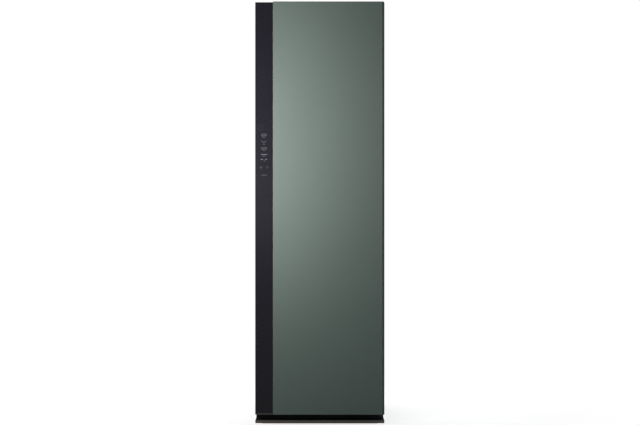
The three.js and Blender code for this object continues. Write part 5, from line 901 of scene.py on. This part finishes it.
def screw(centre, axis, radius, height):
    """Domed head with a cross recess: a quarter-ellipse profile is turned about the axis, and points nearer than the
    slot's half width to either of two crossed lines, and within its reach, are lowered.
    """
    turn = np.linspace(0, np.pi / 2, 7)
    profile = np.stack([radius * np.cos(turn[::-1]), height * np.sin(turn[::-1])], -1)
    flat_top = [(NEARLY_ZERO, height), (radius * 0.12, height), (radius * 0.24, height)]
    profile = np.concatenate([flat_top, profile[1:], [(radius, -SCREW_SINK)]])
    points = turned(profile, centre, axis, SCREW_SIDES)
    out = points - np.asarray(centre, float)
    axis = np.asarray(axis, float)
    reach = np.linalg.norm(out - (out @ axis)[..., None] * axis, axis=-1)
    turn = np.linspace(0, 2 * np.pi, SCREW_SIDES, endpoint=False) + RECESS_TURN
    one, two = reach * np.abs(np.cos(turn))[None], reach * np.abs(np.sin(turn))[None]
    slot = (np.minimum(one, two) < radius * RECESS_HALF) & (reach < radius * RECESS_REACH)
    return points - np.where(slot, height * RECESS_DEPTH, 0.0)[..., None] * axis, SOLID


def cover_screws():
    """Screws on the top cover near its back and front edges, on the hinge cover and on the lower hinge plate."""
    top, cover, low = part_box("top_cover"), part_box("hinge_cover"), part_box("hinge_bracket_bottom")
    places = [(x, top[1].y - COVER_EDGE[1], top[1].z) for x in np.linspace(*BACK_SCREWS)]
    places += [(x, top[0].y + COVER_EDGE[0], top[1].z) for x in FRONT_SCREWS]
    places.append(((cover[0].x + cover[1].x) / 2, (cover[0].y + cover[1].y) / 2, cover[1].z))
    heads = [screw(place, (0, 0, 1), *COVER_HEAD) for place in places]
    heads += [screw((x, low[1].y - PLATE_THICKNESS, z), TO_FRONT, *PLATE_HEAD)
              for x in (low[0].x + PLATE_EDGE, low[1].x - PLATE_EDGE)
              for z in (low[0].z + PLATE_EDGE, low[1].z - PLATE_EDGE)]
    add("cover_screws", heads, "screw_steel", "cabinet")


# Stretched sheets: how each window is divided follows the CAD's own lengths
FILTER_WIDTH = 0.190
FILTER_HEIGHT = 0.112
FILTER_BAR = 0.004
SCREEN_GRIP = 0.0008
SCREEN_BOW = 0.002
LOUVRES_MIDDLE = (0.145, 0.1855)
LOUVRES_HALF = (0.085, 0.0755)
FELT_MARGIN = 0.004
FELT_GAP = 0.0002
SHEET_METAL = 0.0012
SHEET_POINTS = 13


def stretched(name, middle, half, y, bow, finish, body):
    """A sheet stretched in an upright window: over two parameters from -1 to 1 it goes across and up from the window's
    middle by the parameter times the half size, and it is bowed back by the product of two parabolas.
    """
    across = np.linspace(-1, 1, SHEET_POINTS)
    u, v = np.meshgrid(across, across, indexing="ij")
    points = np.stack([middle[0] + u * half[0], y + bow * (1 - u**2) * (1 - v**2), middle[1] + v * half[1]], -1)
    piece = add(name, [(points, SHEET)], finish, body)
    unwrap(piece.data)


def filter_screens():
    """Fine screens in the lint filter's four windows, two across and two up."""
    low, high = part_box("lint_filter")
    half_x = (FILTER_WIDTH - FILTER_BAR) / 4 - FILTER_BAR / 2
    half_z = (FILTER_HEIGHT - 3 * FILTER_BAR) / 4
    half = (half_x + SCREEN_GRIP, half_z + SCREEN_GRIP)
    for number, (side, row) in enumerate([(-1, 0), (-1, 1), (1, 0), (1, 1)], 1):
        x = (low.x + high.x) / 2 + side * (half_x + FILTER_BAR / 2)
        z = low.z + FILTER_BAR + half_z + row * (2 * half_z + FILTER_BAR)
        stretched(f"filter_screen_{number}", (x, z), half, (low.y + high.y) / 2, SCREEN_BOW, "screen_cloth", "filter")


def louvre_felts():
    """Black felt behind the louvres at both sides of the back panel, against its inner face."""
    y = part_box("back_panel")[1].y - SHEET_METAL - FELT_GAP
    half = (LOUVRES_HALF[0] + FELT_MARGIN, LOUVRES_HALF[1] + FELT_MARGIN)
    for side, name in ((-1, "louvre_felt_left"), (1, "louvre_felt_right")):
        stretched(name, (side * LOUVRES_MIDDLE[0], LOUVRES_MIDDLE[1]), half, y, 0, "black_felt", "cabinet")


# Trouser press: its cover's outline, thickness and seat, the furrows sewn into it, and the stitches round it
PAD_X = (-0.1390, 0.1750)
PAD_Z = (0.6680, 1.4920)
PAD_RISE = 0.0030
BASE_THICKNESS = 0.012
PAD_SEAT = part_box("press_base")[0].y + BASE_THICKNESS
PAD_GAP = 0.0001
PAD_POINTS = (49, 61)
PULL = 0.008
# The powers that shape its crown towards the sides and the ends, and the power and share that round off its corners
SIDE_POWER = 14
END_POWER = 30
CORNER_POWER = 24
CORNER_SHARE = 0.03
CHANNELS = (-0.75, 0.75, 7)
FURROW_DEPTH = 0.0011
FURROW_WIDTH = 0.0035
STITCH_INSET = 0.006
STITCH_PITCH = 0.0046
STITCH_LENGTH = 0.0030
STITCH_RADIUS = 0.00035
STITCH_LIFT = 0.0026
STITCH_ARCH = 0.0004
STITCH_CORNER = 0.004
STITCH_POINTS = 4


def press_cover():
    """Thin padded cover on the press: over the grid of two parameters from -1 to 1 its rise is a crown, the product of
    the root of one minus a high power of each parameter, times the thickness, less a narrow bell-shaped furrow at each
    sewn channel. Its long sides pull in a little between the corners. The underside is the same outline, flat.
    """
    u, v = (np.sin(np.linspace(-np.pi / 2, np.pi / 2, points)) for points in PAD_POINTS)
    v = v * 0.5 + np.linspace(-1, 1, len(v)) * 0.5
    u, v = np.meshgrid(u, v, indexing="ij")
    middle_x, middle_z = sum(PAD_X) / 2, sum(PAD_Z) / 2
    half_x, half_z = (PAD_X[1] - PAD_X[0]) / 2, (PAD_Z[1] - PAD_Z[0]) / 2
    pull = 1 - PULL * (1 - v**2)
    round_off = np.sqrt(1 - np.clip(np.abs(u) ** CORNER_POWER * np.abs(v) ** CORNER_POWER, 0, 1) * CORNER_SHARE)
    x = middle_x + half_x * u * pull * round_off
    z = middle_z + half_z * v * round_off
    crown = np.sqrt(np.clip(1 - np.abs(u) ** SIDE_POWER, 0, 1)) * np.sqrt(np.clip(1 - np.abs(v) ** END_POWER, 0, 1))
    rise = PAD_RISE * crown
    for channel in np.linspace(*CHANNELS):
        rise -= FURROW_DEPTH * crown * np.exp(-(((v - channel) * half_z / FURROW_WIDTH) ** 2))
    seat = np.full_like(x, PAD_SEAT)
    top = np.stack([x, seat + PAD_GAP + np.maximum(rise, 0), z], -1)
    under = np.stack([x, seat, z], -1)
    mesh = body_mesh("press_cover", [(top, SHEET), (under[::-1], SHEET)])
    shape = bmesh.new()
    shape.from_mesh(mesh)
    bmesh.ops.bridge_loops(shape, edges=[e for e in shape.edges if e.is_boundary])
    bmesh.ops.recalc_face_normals(shape, faces=shape.faces)
    shape.to_mesh(mesh)
    shape.free()
    unwrap(mesh)
    mesh.polygons.foreach_set("use_smooth", np.full(len(mesh.polygons), True))
    pad = piece_of(mesh, "press_cloth", "door")


def press_stitches():
    """Stitches round the edge of the press cover: short low ribs, each carried over a small arch, set along a rounded
    rectangle.
    """
    line = ring_path((PAD_X[0] + STITCH_INSET, PAD_X[1] - STITCH_INSET),
                     (PAD_Z[0] + STITCH_INSET, PAD_Z[1] - STITCH_INSET), PAD_SEAT, STITCH_CORNER)
    line = np.concatenate([line, line[:1]])
    steps = np.linalg.norm(np.diff(line, axis=0), axis=1)
    reach = np.concatenate([[0], np.cumsum(steps)])
    starts = np.arange(0, reach[-1] - STITCH_PITCH, STITCH_PITCH)
    share = np.linspace(0, 1, STITCH_POINTS)
    at = starts[:, None] + share[None] * STITCH_LENGTH
    run = np.stack([np.interp(at, reach, line[:, k]) for k in range(3)], -1)
    run[..., 1] += STITCH_LIFT + STITCH_ARCH * np.sin(np.pi * share)[None]
    section = np.array([(1, 0), (0, 1), (-1, 0), (0, -1)]) * STITCH_RADIUS
    grids = [(carry(stitch, section, (0, 1, 0)), SOLID) for stitch in run]
    add("press_stitches", grids, "thread", "door")


# Tanks: the level ribs start beside a tank's edge, and stand between its foot and its head
RIB_START = 0.016
RIB_FOOT = 0.045
RIB_HEAD = 0.085
RIB_LENGTHS = (0.024, 0.013)
RIB_WIDTH = 0.0014
RIB_RISE = 0.0005
LEVELS = 7
RIB_POINTS = 6


def level_ribs():
    """Level ribs moulded on the front of each tank: low flat sections carried across, longer at every third."""
    section = rib_section(RIB_WIDTH, RIB_RISE)
    for name in ("supply_tank", "drain_tank"):
        low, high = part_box(name)
        start = low.x + RIB_START
        grids = []
        for number, z in enumerate(np.linspace(low.z + RIB_FOOT, high.z - RIB_HEAD, LEVELS)):
            x = np.linspace(start, start + RIB_LENGTHS[number % 3 > 0], RIB_POINTS)
            grids.append((carry(upright(x, low.y, np.full(RIB_POINTS, z)), section, TO_FRONT), SOLID))
        add(f"{name}_levels", grids, "level_ink", "cabinet")


make_effects()
make_finishes()
studio()
floor()
dress()
touch_marks()
faint_marks()
strip_foot()
cover_screws()
filter_screens()
louvre_felts()
press_cover()
press_stitches()
level_ribs()
